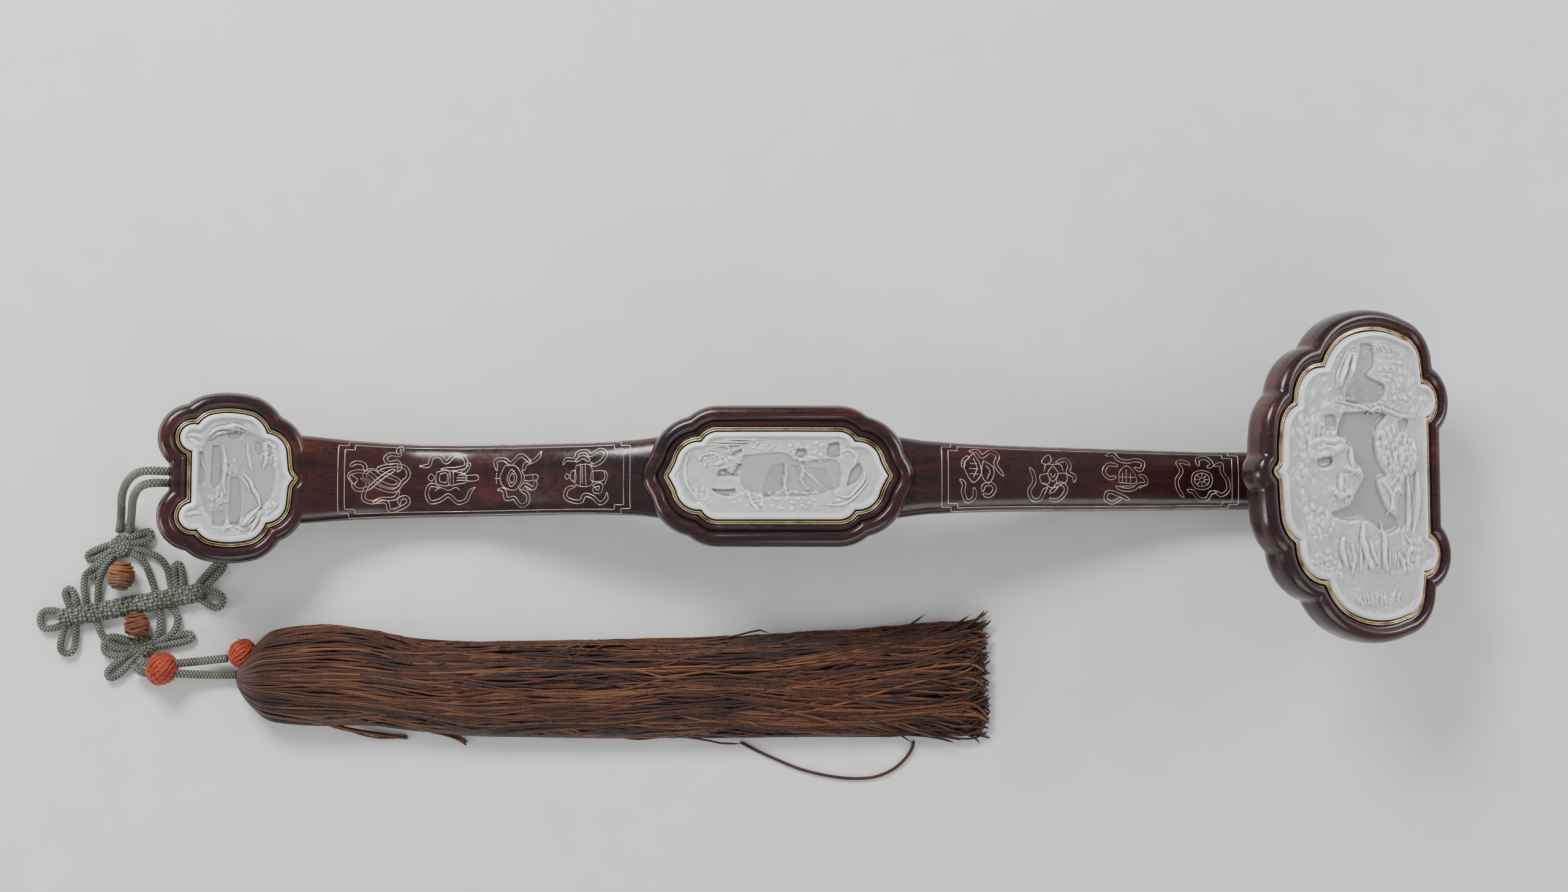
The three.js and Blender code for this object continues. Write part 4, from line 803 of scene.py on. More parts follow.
# x of the centre, then the wires of each emblem from it, in millimetres. ribbon: two wires side by side with
# closed ends. loop: a closed wire. line: a single wire
EMBLEMS = [
    (-154.4, [  # endless knot
        ("ribbon", [(8.6, 10.6), (7.4, 12.1), (6.5, 10.6), (7.4, 9.2), (3.8, 9.4), (2.2, 7.8), (3.5, 6.1), (6.7, 6.5), (7.4, 4), (6.3, 2.7)]),
        ("ribbon", [(-4.6, 2.7), (-4.9, 5.2), (-7.6, 6.1), (-9.9, 4.7)]),
        ("ribbon", [(-9.1, -1.6), (-10.4, 1.1), (-7.6, 2.7), (-3.3, 2.1), (1.1, -1.6), (5.9, -2.8), (7.4, -0.9), (3.8, 1.1), (-0.5, 3.4), (3.8, 5.1), (9.4, 4.4), (10.6, 1.4), (8.2, -1.6), (5.9, -4.4), (1.1, -3.7), (-3.3, -1), (-5, 1.1), (-2.6, 3.7), (0.2, 2.7)]),
        ("ribbon", [(-9.1, -1.6), (-7.6, -4), (-3.6, -3.7), (-0.5, -0.9), (3, 2), (5.9, 3.7)]),
        ("ribbon", [(-6.2, 0.1), (-3.6, -1.6), (-4.8, -4.8), (-5, -7.8), (-2.1, -8.9), (1.1, -7.7), (5.9, -7.2), (7.4, -4.4)]),
        ("ribbon", [(-2.1, -8.9), (2.8, -8.8), (3.8, -11.9), (6.6, -11.5), (10.6, -8.8), (9.7, -6.9), (7.4, -7.8), (7.4, -10.1)]),
        ("line", [(-9, 1.1), (-7.2, -0.4), (-8.4, -2.4)]),
    ]),
    (-128.0, [  # umbrella
        ("loop", [(-7.7, 2.1), (-8.8, 0.7), (-7.7, -0.8), (-6.4, 0.7)]),
        ("loop", [(-5.7, 2.6), (-1.4, 3.3), (-1.1, -2.3), (-5.7, -1.6)]),
        ("line", [(-4.5, 1.9), (-2.1, 2.3), (-2.1, -1.2), (-4.5, -0.8), (-4.5, 1.9)]),
        ("loop", [(-1.1, 3.2), (2.1, 2.6), (5, 1.6), (5, -1.2), (2.1, -1.9), (-1.1, -2.3)]),
        ("line", [(0.3, 2.8), (0.4, -2.1)]),
        ("line", [(2, 1.6), (4.8, 1.5)]),
        ("line", [(1.4, 0.5), (5, 0.5)]),
        ("line", [(1.4, -0.5), (4.8, -0.5)]),
        ("loop", [(5.1, 1.3), (9.4, 1.3), (9.9, 0.4), (9.4, -0.5), (5.1, -0.5)]),
        ("ribbon", [(-12.1, 4.9), (-8.6, 5.2), (-7.5, 8.3), (-4.3, 8.6), (-2.4, 6.3), (0.6, 9), (4, 8.4), (5, 5.2), (1.4, 3.9), (-4.3, 3.8)]),
        ("ribbon", [(5, 5.2), (6.2, 5.6), (5, 3.2), (3.1, 2.5)]),
        ("ribbon", [(-4.3, -3.2), (-7.9, -2.3), (-9.2, -5.6), (-7.9, -8.7), (-4.3, -8), (-1.4, -6.2), (2.1, -9), (5.2, -7.9), (6.8, -4.6), (8.6, -3.2)]),
        ("line", [(-6.4, -4.6), (-4.3, -3.3), (-1.4, -4.3), (1.4, -3.2), (2.8, -4.2)]),
    ]),
    (-103.3, [  # canopy
        ("loop", [(-5.1, 4.8), (-0.9, 4.5), (1.3, 0), (-0.9, -4.4), (-5.1, -3.5), (-6.8, 0)]),
        ("loop", [(-3.5, 0), (-2.1, 2), (-1.4, 0), (-2.3, -2)]),
        ("line", [(-4.3, 0), (-2.6, 3.3), (-0.4, 0), (-2.6, -3.3), (-4.3, 0)]),
        ("line", [(1.3, 2.8), (2.4, 0), (1.3, -2.8)]),
        ("line", [(-8.1, 2.1), (-8.1, -2)]),
        ("line", [(-8.9, 0), (-6.8, 0)]),
        ("loop", [(2.4, 0.9), (7.2, 1), (7.5, 0), (7.2, -0.7), (2.4, -0.9)]),
        ("line", [(5.5, 1.4), (5.7, -1.4)]),
        ("ribbon", [(-7.9, 2.8), (-8.5, 6.7), (-5.1, 7.1), (-3, 5.5), (1, 8.6), (4.8, 6), (7.5, 7.8), (8.6, 9.9)]),
        ("ribbon", [(2, 2.8), (2.7, 5.1), (4.8, 6)]),
        ("ribbon", [(-7.8, -4.3), (-5.4, -4.4), (-4.4, -7.8), (-1.6, -7.5), (1, -10.4), (3.5, -9.2), (3.7, -6.4), (0.6, -4.4)]),
        ("ribbon", [(0.6, -4.4), (2.7, -2.6), (5.8, -4), (6.8, -1.1)]),
        ("line", [(2.7, -2.8), (3.4, -4.3), (5.1, -4.7)]),
    ]),
    (-77.7, [  # banner
        ("loop", [(-7.4, 1.3), (-8.2, 0.2), (-7.4, -0.9), (-6.4, 0.2)]),
        ("loop", [(-6, 1.8), (-4.5, 2.3), (-4.3, -1.9), (-5.8, -1.1)]),
        ("loop", [(-4.1, 4.2), (1.1, 4.2), (1.6, -3.2), (-4.1, -2.9)]),
        ("line", [(-2.4, 4.9), (-2.4, -3.2)]),
        ("line", [(-0.7, 4.9), (-0.4, -3.2)]),
        ("line", [(-1.8, 3.9), (-1.7, -2.5)]),
        ("loop", [(1.6, 1.9), (6, 1.9), (6.5, 0.4), (6, -1.5), (1.6, -1.6)]),
        ("line", [(6.4, 2.2), (7.5, 0.4), (6.4, -3.2)]),
        ("ribbon", [(-8.8, 4.5), (-7.8, 6.5), (-4.4, 6.5), (-3.4, 9), (0, 9.4), (0.9, 7.9), (4.7, 9.9), (6.8, 8.7), (5.2, 5.6), (2.1, 4.2), (1.4, 5.2)]),
        ("ribbon", [(-4.4, 5.7), (-1.4, 7.3), (0.9, 5.7)]),
        ("ribbon", [(-4.1, -3.6), (-7.1, -4.5), (-7.9, -7.4), (-5.2, -9.1), (-2.1, -9.1), (-1, -6.9), (2.1, -7.7), (4.7, -10), (6.9, -8.6), (7.2, -6)]),
        ("ribbon", [(2.1, -3.6), (5, -3.2), (4.7, -5.6), (2.8, -5.5), (3, -4)]),
    ]),
    (61.8, [  # paired fish
        ("loop", [(-2.9, 8.6), (-0.5, 4.5), (-0.2, 0.5), (-2.9, -2.3), (-5.1, 0.5), (-6.3, 4.5)]),
        ("line", [(-2.9, 6.8), (-1.6, 2.9), (-2.9, -0.4)]),
        ("line", [(-4.1, 4.8), (-1.4, 4.7)]),
        ("line", [(-4.4, 2.9), (-1, 2.8)]),
        ("line", [(-4.1, 1), (-1, 0.8)]),
        ("loop", [(0.8, 5.9), (4.1, 3.6), (4.5, 0.5), (2.6, -2.6), (0.4, -0.4), (0.2, 3.3)]),
        ("line", [(1.6, 4.1), (3.1, 1.9), (2, -1)]),
        ("ribbon", [(-4.4, 9.3), (-1.1, 9.3), (0.1, 7.4), (3.3, 9.3), (6, 7.7), (5.1, 4.7), (6.5, 2.2), (8.1, 0.2)]),
        ("ribbon", [(-7.8, -1.1), (-6.3, -2.8), (-6.6, -6), (-5, -9.3), (-2.6, -7.8), (-2.6, -4.1)]),
        ("ribbon", [(0.4, -5.7), (1, -3.3), (3.6, -2.8), (4.8, -4.8), (2.8, -7.2), (0.4, -6.5)]),
        ("ribbon", [(-6.6, 3.3), (-6.2, 5.9), (-4.4, 7.4)]),
    ]),
    (87.9, [  # lotus
        ("loop", [(0, 4.5), (-1.9, 1.5), (0, -1.5), (1.9, 1.5)]),
        ("loop", [(-1.9, 1.5), (-4.8, 0.6), (-4.1, -2.2), (-1.4, -2.2)]),
        ("loop", [(1.9, 1.5), (4.8, 1.5), (5, -1.5), (1.4, -2.2)]),
        ("line", [(-3.3, 2.2), (-2.5, 4.8), (-0.1, 4.9)]),
        ("line", [(-0.1, 4.9), (2.8, 4.8), (3.8, 2.5)]),
        ("loop", [(-3.3, 7.3), (-1.4, 8.5), (-0.5, 6.4), (-2.2, 4.9), (-4.2, 5.5)]),
        ("ribbon", [(-8.6, 3.7), (-7.4, 1.5), (-6.9, -1.9), (-8.7, -5.2), (-7.4, -8.3), (-4.8, -8.2), (-3.3, -5.2), (-1.9, -3.6)]),
        ("ribbon", [(1.1, 5.5), (4.8, 6.7), (6.2, 4.3), (5.6, 1.9), (7.8, 0.6), (7.8, -1.8)]),
        ("ribbon", [(-1.4, -7.9), (1.1, -8.5), (3.8, -6.8), (4.8, -3.7), (2.5, -2.2), (0.4, -4.5), (-1.4, -6)]),
        ("line", [(-3.3, -2.2), (-0.4, -3.9), (3.3, -2.7)]),
        ("line", [(-1, 1.5), (0, 0), (1.1, 1.5)]),
    ]),
    (115.1, [  # conch
        ("loop", [(-2.8, -1.6), (-2.4, 2.5), (0, 4.8), (2.8, 2.5), (3.7, -1.5)]),
        ("line", [(-1.5, -1.5), (-1.3, 2.2)]),
        ("line", [(0, -1.6), (0, 3.3)]),
        ("line", [(1.5, -1.5), (1.6, 1.9)]),
        ("line", [(-2.7, 0.6), (3.7, 0.4)]),
        ("ribbon", [(-4, -3.1), (-0.7, -4.2), (2.7, -3.9), (4.9, -2.2), (7.4, -1.9), (6.7, 0.6), (4.5, 1.3)]),
        ("ribbon", [(-7.4, 8.5), (-4.5, 9.2), (-3, 7.3), (0.7, 6.4), (3.7, 7), (6.4, 6), (5.4, 3.3), (3, 4.2)]),
        ("ribbon", [(-3, 4.8), (-6.7, 5.1), (-8.3, 2.2), (-6.2, 0.1), (-3.6, 0.7)]),
        ("ribbon", [(1.5, -8.2), (-3, -6.1), (-6.7, -5.2), (-7.7, -7.6), (-5.2, -9.1), (-1.5, -7.1)]),
        ("line", [(4.9, -3.7), (7.7, -1.9)]),
        ("line", [(-3, -3), (3, -2.7)]),
    ]),
    (143.2, [  # wheel
        ("loop", [(0, 2.4), (-2, 1.6), (-2.8, -0.2), (-2, -2.1), (0, -2.8), (2, -2.1), (2.8, -0.2), (2, 1.6)]),
        ("loop", [(0, 3.4), (-2.9, 2.4), (-3.9, -0.2), (-2.9, -3), (0, -4), (2.9, -3), (3.9, -0.2), (2.9, 2.4)]),
        ("loop", [(0, 0.7), (-1, -0.2), (0, -1.2), (1, -0.2)]),
        ("line", [(0, 2.4), (0, 0.7)]),
        ("line", [(0, -1.2), (0, -2.8)]),
        ("line", [(-2.8, -0.2), (-1, -0.2)]),
        ("line", [(1, -0.2), (2.8, -0.2)]),
        ("line", [(-1.9, 1.6), (-0.7, 0.4)]),
        ("line", [(1.9, 1.6), (0.7, 0.4)]),
        ("line", [(-1.9, -2.1), (-0.7, -0.9)]),
        ("line", [(1.9, -2.1), (0.7, -0.9)]),
        ("ribbon", [(-4.1, 5.4), (-7.4, 6.7), (-8.9, 6.1), (-7.5, 3.1), (-9.3, -0.6), (-8.6, -4.3), (-6.6, -7)]),
        ("ribbon", [(-1.1, 4.9), (-1.4, 7.4), (1.9, 7.9), (3.8, 5.4), (1.9, 4.5)]),
        ("ribbon", [(4.4, 4.9), (7.1, 5.7), (7.4, 2.7), (9.3, -0.6), (9.4, -4.3), (7.1, -6), (4.5, -4.3)]),
        ("ribbon", [(-5.6, -4.3), (-3.2, -4.8), (-1.1, -7.4), (1.9, -7.4), (3.3, -5.2), (5.6, -4.8)]),
    ]),
]
# x of both ends of each panel's border
PANELS = [(-168.4, -62.2), (47.6, 156.5)]


def parallel(line, distance):
    """A line moved sideways by a distance."""
    line = np.asarray(line, float)
    t = np.gradient(line, axis=0)
    t /= np.maximum(np.linalg.norm(t, axis=1, keepdims=True), 1e-9)
    return line + np.stack([-t[:, 1], t[:, 0]], -1) * distance


def silver_inlay(body):
    """Emblems with flying ribbons, and double borders with notched corners, laid on the shaft."""
    inlay = Inlay(body)
    half_width = smooth_row([row[3] for row in SHAFT])
    stations = [row[0] for row in SHAFT]

    def width_at(x):
        return half_width(np.interp(x, stations, np.arange(len(stations))))

    for x0, rows in EMBLEMS:
        for kind, points in rows:
            points = np.array(points, float)
            if kind == "line":
                lines = [catmull(points, 30) if len(points) > 2 else points]
            elif kind == "loop":
                lines = [catmull([*points, points[0]], 50)]
            else:
                middle = catmull(points, 60)
                taper = np.clip(np.minimum(np.arange(60), np.arange(60)[::-1]) / 4, 0.35, 1)[:, None]
                left, right = (middle + (parallel(middle, d) - middle) * taper for d in (0.62, -0.62))
                lines = [np.vstack([left, right[::-1], left[:1]])]
            for line in lines:
                line = line * (1, 0.95) + (x0, 0.3)
                edge = width_at(line[:, 0]) * 0.9
                line[:, 1] = np.clip(line[:, 1], -edge, edge)
                inlay.wire(line, 0.34)
    for x0, x1 in PANELS:
        for shift, share, notch in ((0, 0.955, 3.4), (2.3, 0.86, 3.4)):
            a, b = x0 + shift, x1 - shift
            low = share - 0.12
            top = [(a, 0), (a, low), (a + notch, low), (a + notch, share)]
            top = np.array([*top, *[(a + b - x, y) for x, y in top[::-1]]])
            loop = np.vstack([top, (top * (1, -1))[::-1]])
            pieces = [np.linspace(p, q, max(2, int(abs(q - p)[0] / 2) + 2))[:-1] for p, q in zip(loop, np.roll(loop, -1, 0))
                      if not np.allclose(p, q)]
            loop = np.vstack([*pieces, loop[:1]])
            loop[:, 1] *= width_at(loop[:, 0])
            inlay.wire(loop, 0.36)
    return inlay.finish("silver_inlay")


# ---- cord, knotwork and beads ---------------------------------------------------------------------------

def in_passage(depth, y):
    """A point at a depth in the cord's passage through the tail, below the lip where the cord comes out."""
    u0, w0 = HOLE["start"]
    u1, w1 = HOLE["end"]
    start, end = placed(TAIL, u0, y, w0), placed(TAIL, u1, y, w1)
    return start + (end - start) / np.linalg.norm(end - start) * depth


LIE = 1.6
STRANDS = {
    "cord_upper_far": [
        in_passage(7, 2.05), in_passage(1.5, 2.05), (-231.2, 2.1, 34.7), (-234.6, 1.9, 34), (-238, 0.8, 31.4),
        (-241.2, -1, 27.4), (-244, -3.2, 22.4), (-246.4, -5.6, 16.8), (-248.2, -8, 11.4), (-249.5, -10.4, 7),
        (-250.4, -12.6, 4.2), (-251, -14.6, 2.6), (-251.4, -16.2, 1.9), (-251.7, -17.7, LIE), (-251.8, -19, LIE)],
    "cord_upper_near": [
        in_passage(7, -2.05), in_passage(1.5, -2.05), (-230.6, -2.2, 34.2), (-233.6, -2.7, 33), (-236.4, -3.7, 30),
        (-239, -5.2, 25.6), (-241.2, -6.9, 20.6), (-243, -8.7, 15.6), (-244.5, -10.5, 11), (-245.7, -12.2, 7.2),
        (-246.6, -13.8, 4.6), (-247.2, -15.3, 2.9), (-247.7, -16.7, 2), (-248, -17.9, LIE), (-248.2, -19, LIE)],
    "cord_lower_far": [
        (-242.6, -64.6, 5), (-241.6, -65.3, 5.6), (-240.4, -65.9, 6.1), (-239, -66.3, 6.4), (-237.4, -66.5, 6.5),
        (-234.9, -66.5, 6.5), (-232.5, -66.5, 6.5), (-230.4, -66.5, 6.5), (-228.2, -66.3, 6.3), (-226, -66.1, 6),
        (-223, -65.8, 5.5), (-220, -65.5, 5), (-217.3, -65.2, 4.8), (-214.6, -64.9, 4.6), (-210.1, -64.4, 4.7)],
    "cord_lower_near": [
        (-244.9, -66.9, 4.2), (-243.3, -68.2, 5.1), (-241.6, -69.2, 5.7), (-239.7, -69.8, 6.2), (-237.8, -69.9, 6.5),
        (-235.3, -69.9, 6.5), (-232.8, -69.9, 6.5), (-230.4, -69.9, 6.5), (-228.2, -70, 6.2), (-226, -70.1, 5.6),
        (-223, -70.3, 4.6), (-220, -70.4, 3.8), (-217, -70.5, 3.2), (-212, -70.5, 2.9), (-206.9, -70.5, 3.2)],
}
LOOSE_THREAD = [(-24, -95), (-19, -97.6), (-11, -101.2), (-2, -104.8), (8, -107.2), (17, -108.2), (25, -107.6),
                (31.5, -105), (36, -101.2), (38.6, -97.4), (39.4, -94.2)]
# base x, y, tip x, y, width
LOOPS = [
    (-252, -23, -264.2, -28.4, 4.4), (-252, -24, -262.6, -35.6, 4), (-248, -22, -238.6, -18.8, 4.6),
    (-228.8, -42.4, -230.4, -28.8, 4.2), (-224, -41, -212.6, -29, 4.6), (-222, -41, -212.2, -45, 6.6),
    (-267, -48, -270.6, -38.2, 4.6), (-270, -50, -281.2, -50.8, 8), (-268, -50, -270.4, -64, 6.6),
    (-240, -59.6, -223, -56.2, 4.2), (-244, -62, -255.6, -72, 5.2), (-244, -61, -257.6, -59.6, 8),
]
ARMS = [
    [(-249, -24), (-242, -25.4), (-235, -29.6), (-231.6, -42)], [(-249, -25), (-242.6, -29), (-239.4, -36), (-237.4, -43)],
    [(-252, -25), (-258.6, -30.6), (-263.6, -34.4), (-263, -48)],
    [(-252, -25.6), (-256.8, -31.6), (-258.6, -38), (-259.2, -47)],
    [(-234, -44), (-229.6, -49.4), (-231.4, -55.4), (-240, -59.6)], [(-236.6, -45), (-235.8, -51), (-236.8, -56), (-241, -60)],
    [(-260, -50), (-256.4, -57), (-250.6, -60.8), (-243, -60.6)],
]
TOP_KNOT, LOW_KNOT = (-250.6, -23.6), (-242, -60.2)
BAR = dict(start=(-272.5, -50.2), end=(-220.5, -40.4), width=6.6, height=5.2)
BEAD_UPPER = dict(at=(-249.6, -34.6), r=5.0, length=11.0)
BEAD_LOWER = dict(at=(-243.6, -52.4), r=4.6, length=9.0)
CORAL_LARGE = dict(at=(-233.8, -68.2), r=6.4)
CORAL_SMALL = dict(at=(-205, -62.6), r=4.6)


def joined(name, parts):
    """One object from several, with their maps kept."""
    graph_context = dict(active_object=parts[0], object=parts[0], selected_editable_objects=parts, selected_objects=parts)
    with bpy.context.temp_override(**graph_context):
        bpy.ops.object.join()
    parts[0].name = parts[0].data.name = name
    return parts[0]


def petal(row):
    """The line of a loop of cord: out from its base on one side, round its tip and back on the other."""
    x0, y0, x1, y1, width = row
    base, tip = np.array([x0, y0], float), np.array([x1, y1], float)
    way = tip - base
    length = np.hypot(*way)
    way /= length
    side = np.array([-way[1], way[0]])
    half = max(width / 2 - LOOP_R * 0.55, 0.95)
    rows = [(0, 0.45), (0.3, 0.8), (0.62, 1.0), (0.84, 0.95), (0.96, 0.62), (1.0, 0.0)]
    reach = length - LOOP_R
    left = [base + way * reach * t + side * half * s for t, s in rows]
    right = [base + way * reach * t - side * half * s for t, s in rows[:-1]][::-1]
    return catmull([*left, *right], 64)


def lifted(line, low, hump=0.0):
    """A flat line set at a height, raised in the middle of its run by a hump."""
    t = np.linspace(0, 1, len(line))
    return np.column_stack([line, low + hump * np.sin(math.pi * t) ** 2])


def knotwork():
    """Flat knotwork: petals of cord, arms between the knots, a plaited bar and two round knots."""
    parts = []
    for k, row in enumerate(LOOPS):
        z = FLOOR + LOOP_R + (0.25 + 0.5 * (k % 3) / 2)
        line = petal(row)
        parts.append(tube("loop", lifted(line, z, -0.15), LOOP_R, 14))
    for k, arm in enumerate(ARMS):
        parts.append(tube("arm", lifted(catmull(arm, 60), FLOOR + LOOP_R + 0.3, 0.5 + 0.3 * (k % 2)), LOOP_R, 14))
    a, b = (np.array(p, float) for p in (BAR["start"], BAR["end"]))
    way = (b - a) / np.linalg.norm(b - a)
    side = np.array([-way[1], way[0]])
    length = np.linalg.norm(b - a)
    t = np.linspace(0, 1, 260)
    turns = 5.6
    for k in range(3):
        phase = 2 * math.pi * (turns * t + k / 3)
        across = (BAR["width"] / 2 - 1.2) * np.sin(phase)
        up = 1.0 * np.sin(2 * phase + 0.6)
        flat = a + way * (length * t)[:, None] + side * across[:, None]
        parts.append(tube("bar", np.column_stack([flat, FLOOR + 2.5 + up]), 1.5, 12))
    for (x, y), r, n, tall in ((TOP_KNOT, 4.2, 5, 4.9), (LOW_KNOT, 4.4, 5, 4.9)):
        for k in range(n):
            turn = math.pi * k / n + 0.35
            t = np.linspace(0, 2 * math.pi, 60)
            d = np.array([math.cos(turn), math.sin(turn)])
            e = np.array([-d[1], d[0]])
            loop = np.column_stack([
                x + (r - LOOP_R) * np.cos(t) * d[0] + 1.5 * np.sin(2 * t) * e[0] + (k - n / 2 + 0.5) * e[0] * 0.5,
                y + (r - LOOP_R) * np.cos(t) * d[1] + 1.5 * np.sin(2 * t) * e[1] + (k - n / 2 + 0.5) * e[1] * 0.5,
                FLOOR + LOOP_R + (tall - 2 * LOOP_R - 0.2) * (0.5 + 0.5 * np.sin(t))])
            parts.append(tube("round", loop, LOOP_R * 0.95, 12))
    return joined("knotwork_cord", parts)


def wound(name, centre, axis, radius, length, turns, strand, tilt=0.0, waves=0.0, seed=1):
    """A bead wound with thread: rounds of a strand side by side from pole to pole over an egg-shaped body.

    A round at height h sits at radius r * (1 - |2h / length| ^ 2.4) ^ (1 / 2.4), and leans and waves a little."""
    dice = np.random.default_rng(seed)
    centre, axis = np.array(centre, float), np.array(axis, float)
    axis /= np.linalg.norm(axis)
    e1 = np.cross(axis, (0, 0, 1.0))
    e1 /= np.linalg.norm(e1)
    e2 = np.cross(e1, axis)
    reach = length / 2 - strand
    parts = []
    t = np.linspace(0, 2 * math.pi, 49)
    core_h = np.linspace(-1, 1, 25)
    core_r = np.maximum(1 - np.abs(core_h) ** 2.4, 0) ** (1 / 2.4) * (radius - strand * 1.75) + 0.02
    rings = centre + core_h[:, None, None] * (reach - 0.2) * axis + core_r[:, None, None] * (
        e1 * np.cos(t[:-1])[None, :, None] + e2 * np.sin(t[:-1])[None, :, None])
    parts.append(recalculated(skin("core", rings)))
    for k in range(turns):
        h = -1 + 2 * (k + 0.5) / turns
        r = max(1 - abs(h) ** 2.4, 0) ** (1 / 2.4) * (radius - strand)
        lean = tilt * dice.uniform(-1, 1)
        phase = dice.uniform(0, 6.28)
        along = h * reach + lean * np.cos(t + phase) + waves * dice.uniform(0.3, 1) * np.cos(3 * t + phase)
        line = centre + along[:, None] * axis + r * (e1 * np.cos(t)[:, None] + e2 * np.sin(t)[:, None])
        parts.append(tube("round", line, strand * dice.uniform(0.9, 1.08), 8, ends=False))
    return joined(name, parts)


def coral_knot(name, centre, radius, squash, strand, seed):
    """A knot of thick strands: bundles of parallel rounds, each bundle wound over the last at another slant."""
    dice = np.random.default_rng(seed)
    centre = np.array(centre, float)
    parts = []
    t = np.linspace(0, 2 * math.pi, 57)
    for b, (pole, count) in enumerate((((0.25, 1, 0.1), 4), ((1, 0.35, 0.35), 4), ((-0.6, 0.75, 0.5), 4), ((0.7, -0.6, 0.55), 3))):
        pole = np.array(pole, float)
        pole /= np.linalg.norm(pole)
        e1 = np.cross(pole, (0.3, 0.2, 1.0))
        e1 /= np.linalg.norm(e1)
        e2 = np.cross(e1, pole)
        for k in range(count):
            h = (k - (count - 1) / 2) * strand * 1.95
            r = math.sqrt(max((radius - strand) ** 2 - h * h, 0.2)) * (0.88 + 0.04 * b)
            wave = 0.25 * dice.uniform(0.4, 1) * np.sin(2 * t + dice.uniform(0, 6))
            line = (h + wave)[:, None] * pole + r * (e1 * np.cos(t)[:, None] + e2 * np.sin(t)[:, None])
            line = line * squash
            parts.append(tube("round", centre + line, strand * dice.uniform(0.88, 1.05), 9, ends=False))
    for k in range(5):
        a = dice.uniform(0, 6.28)
        start = centre + radius * 0.75 * np.array([math.cos(a), math.sin(a), 0.3])
        end = centre + radius * dice.uniform(1.0, 1.12) * np.array([math.cos(a + 0.35), math.sin(a + 0.35), 0.25])
        parts.append(tube("end", catmull([start, (start + end) / 2 + (0, 0, 0.4), end], 8), 0.16, 5))
    return joined(name, parts)


# x, middle y, half width, height
TASSEL = [
    (-206.6, -71.6, 3.6, 7.5), (-203.8, -71.6, 8, 11.5), (-200, -71.4, 12.4, 14.8), (-194, -70.9, 16.8, 16.6),
    (-176, -70.6, 18.6, 17), (-160, -71.4, 17.6, 16), (-140, -74.2, 17, 14.5), (-115, -75.6, 17.4, 14),
    (-80, -75.6, 18, 13.5), (-40, -75, 18.6, 13), (0, -74, 19.2, 12), (35, -73.2, 19.6, 10.5),
    (58, -72.8, 19, 8.5), (68, -72.6, 16, 6),
]


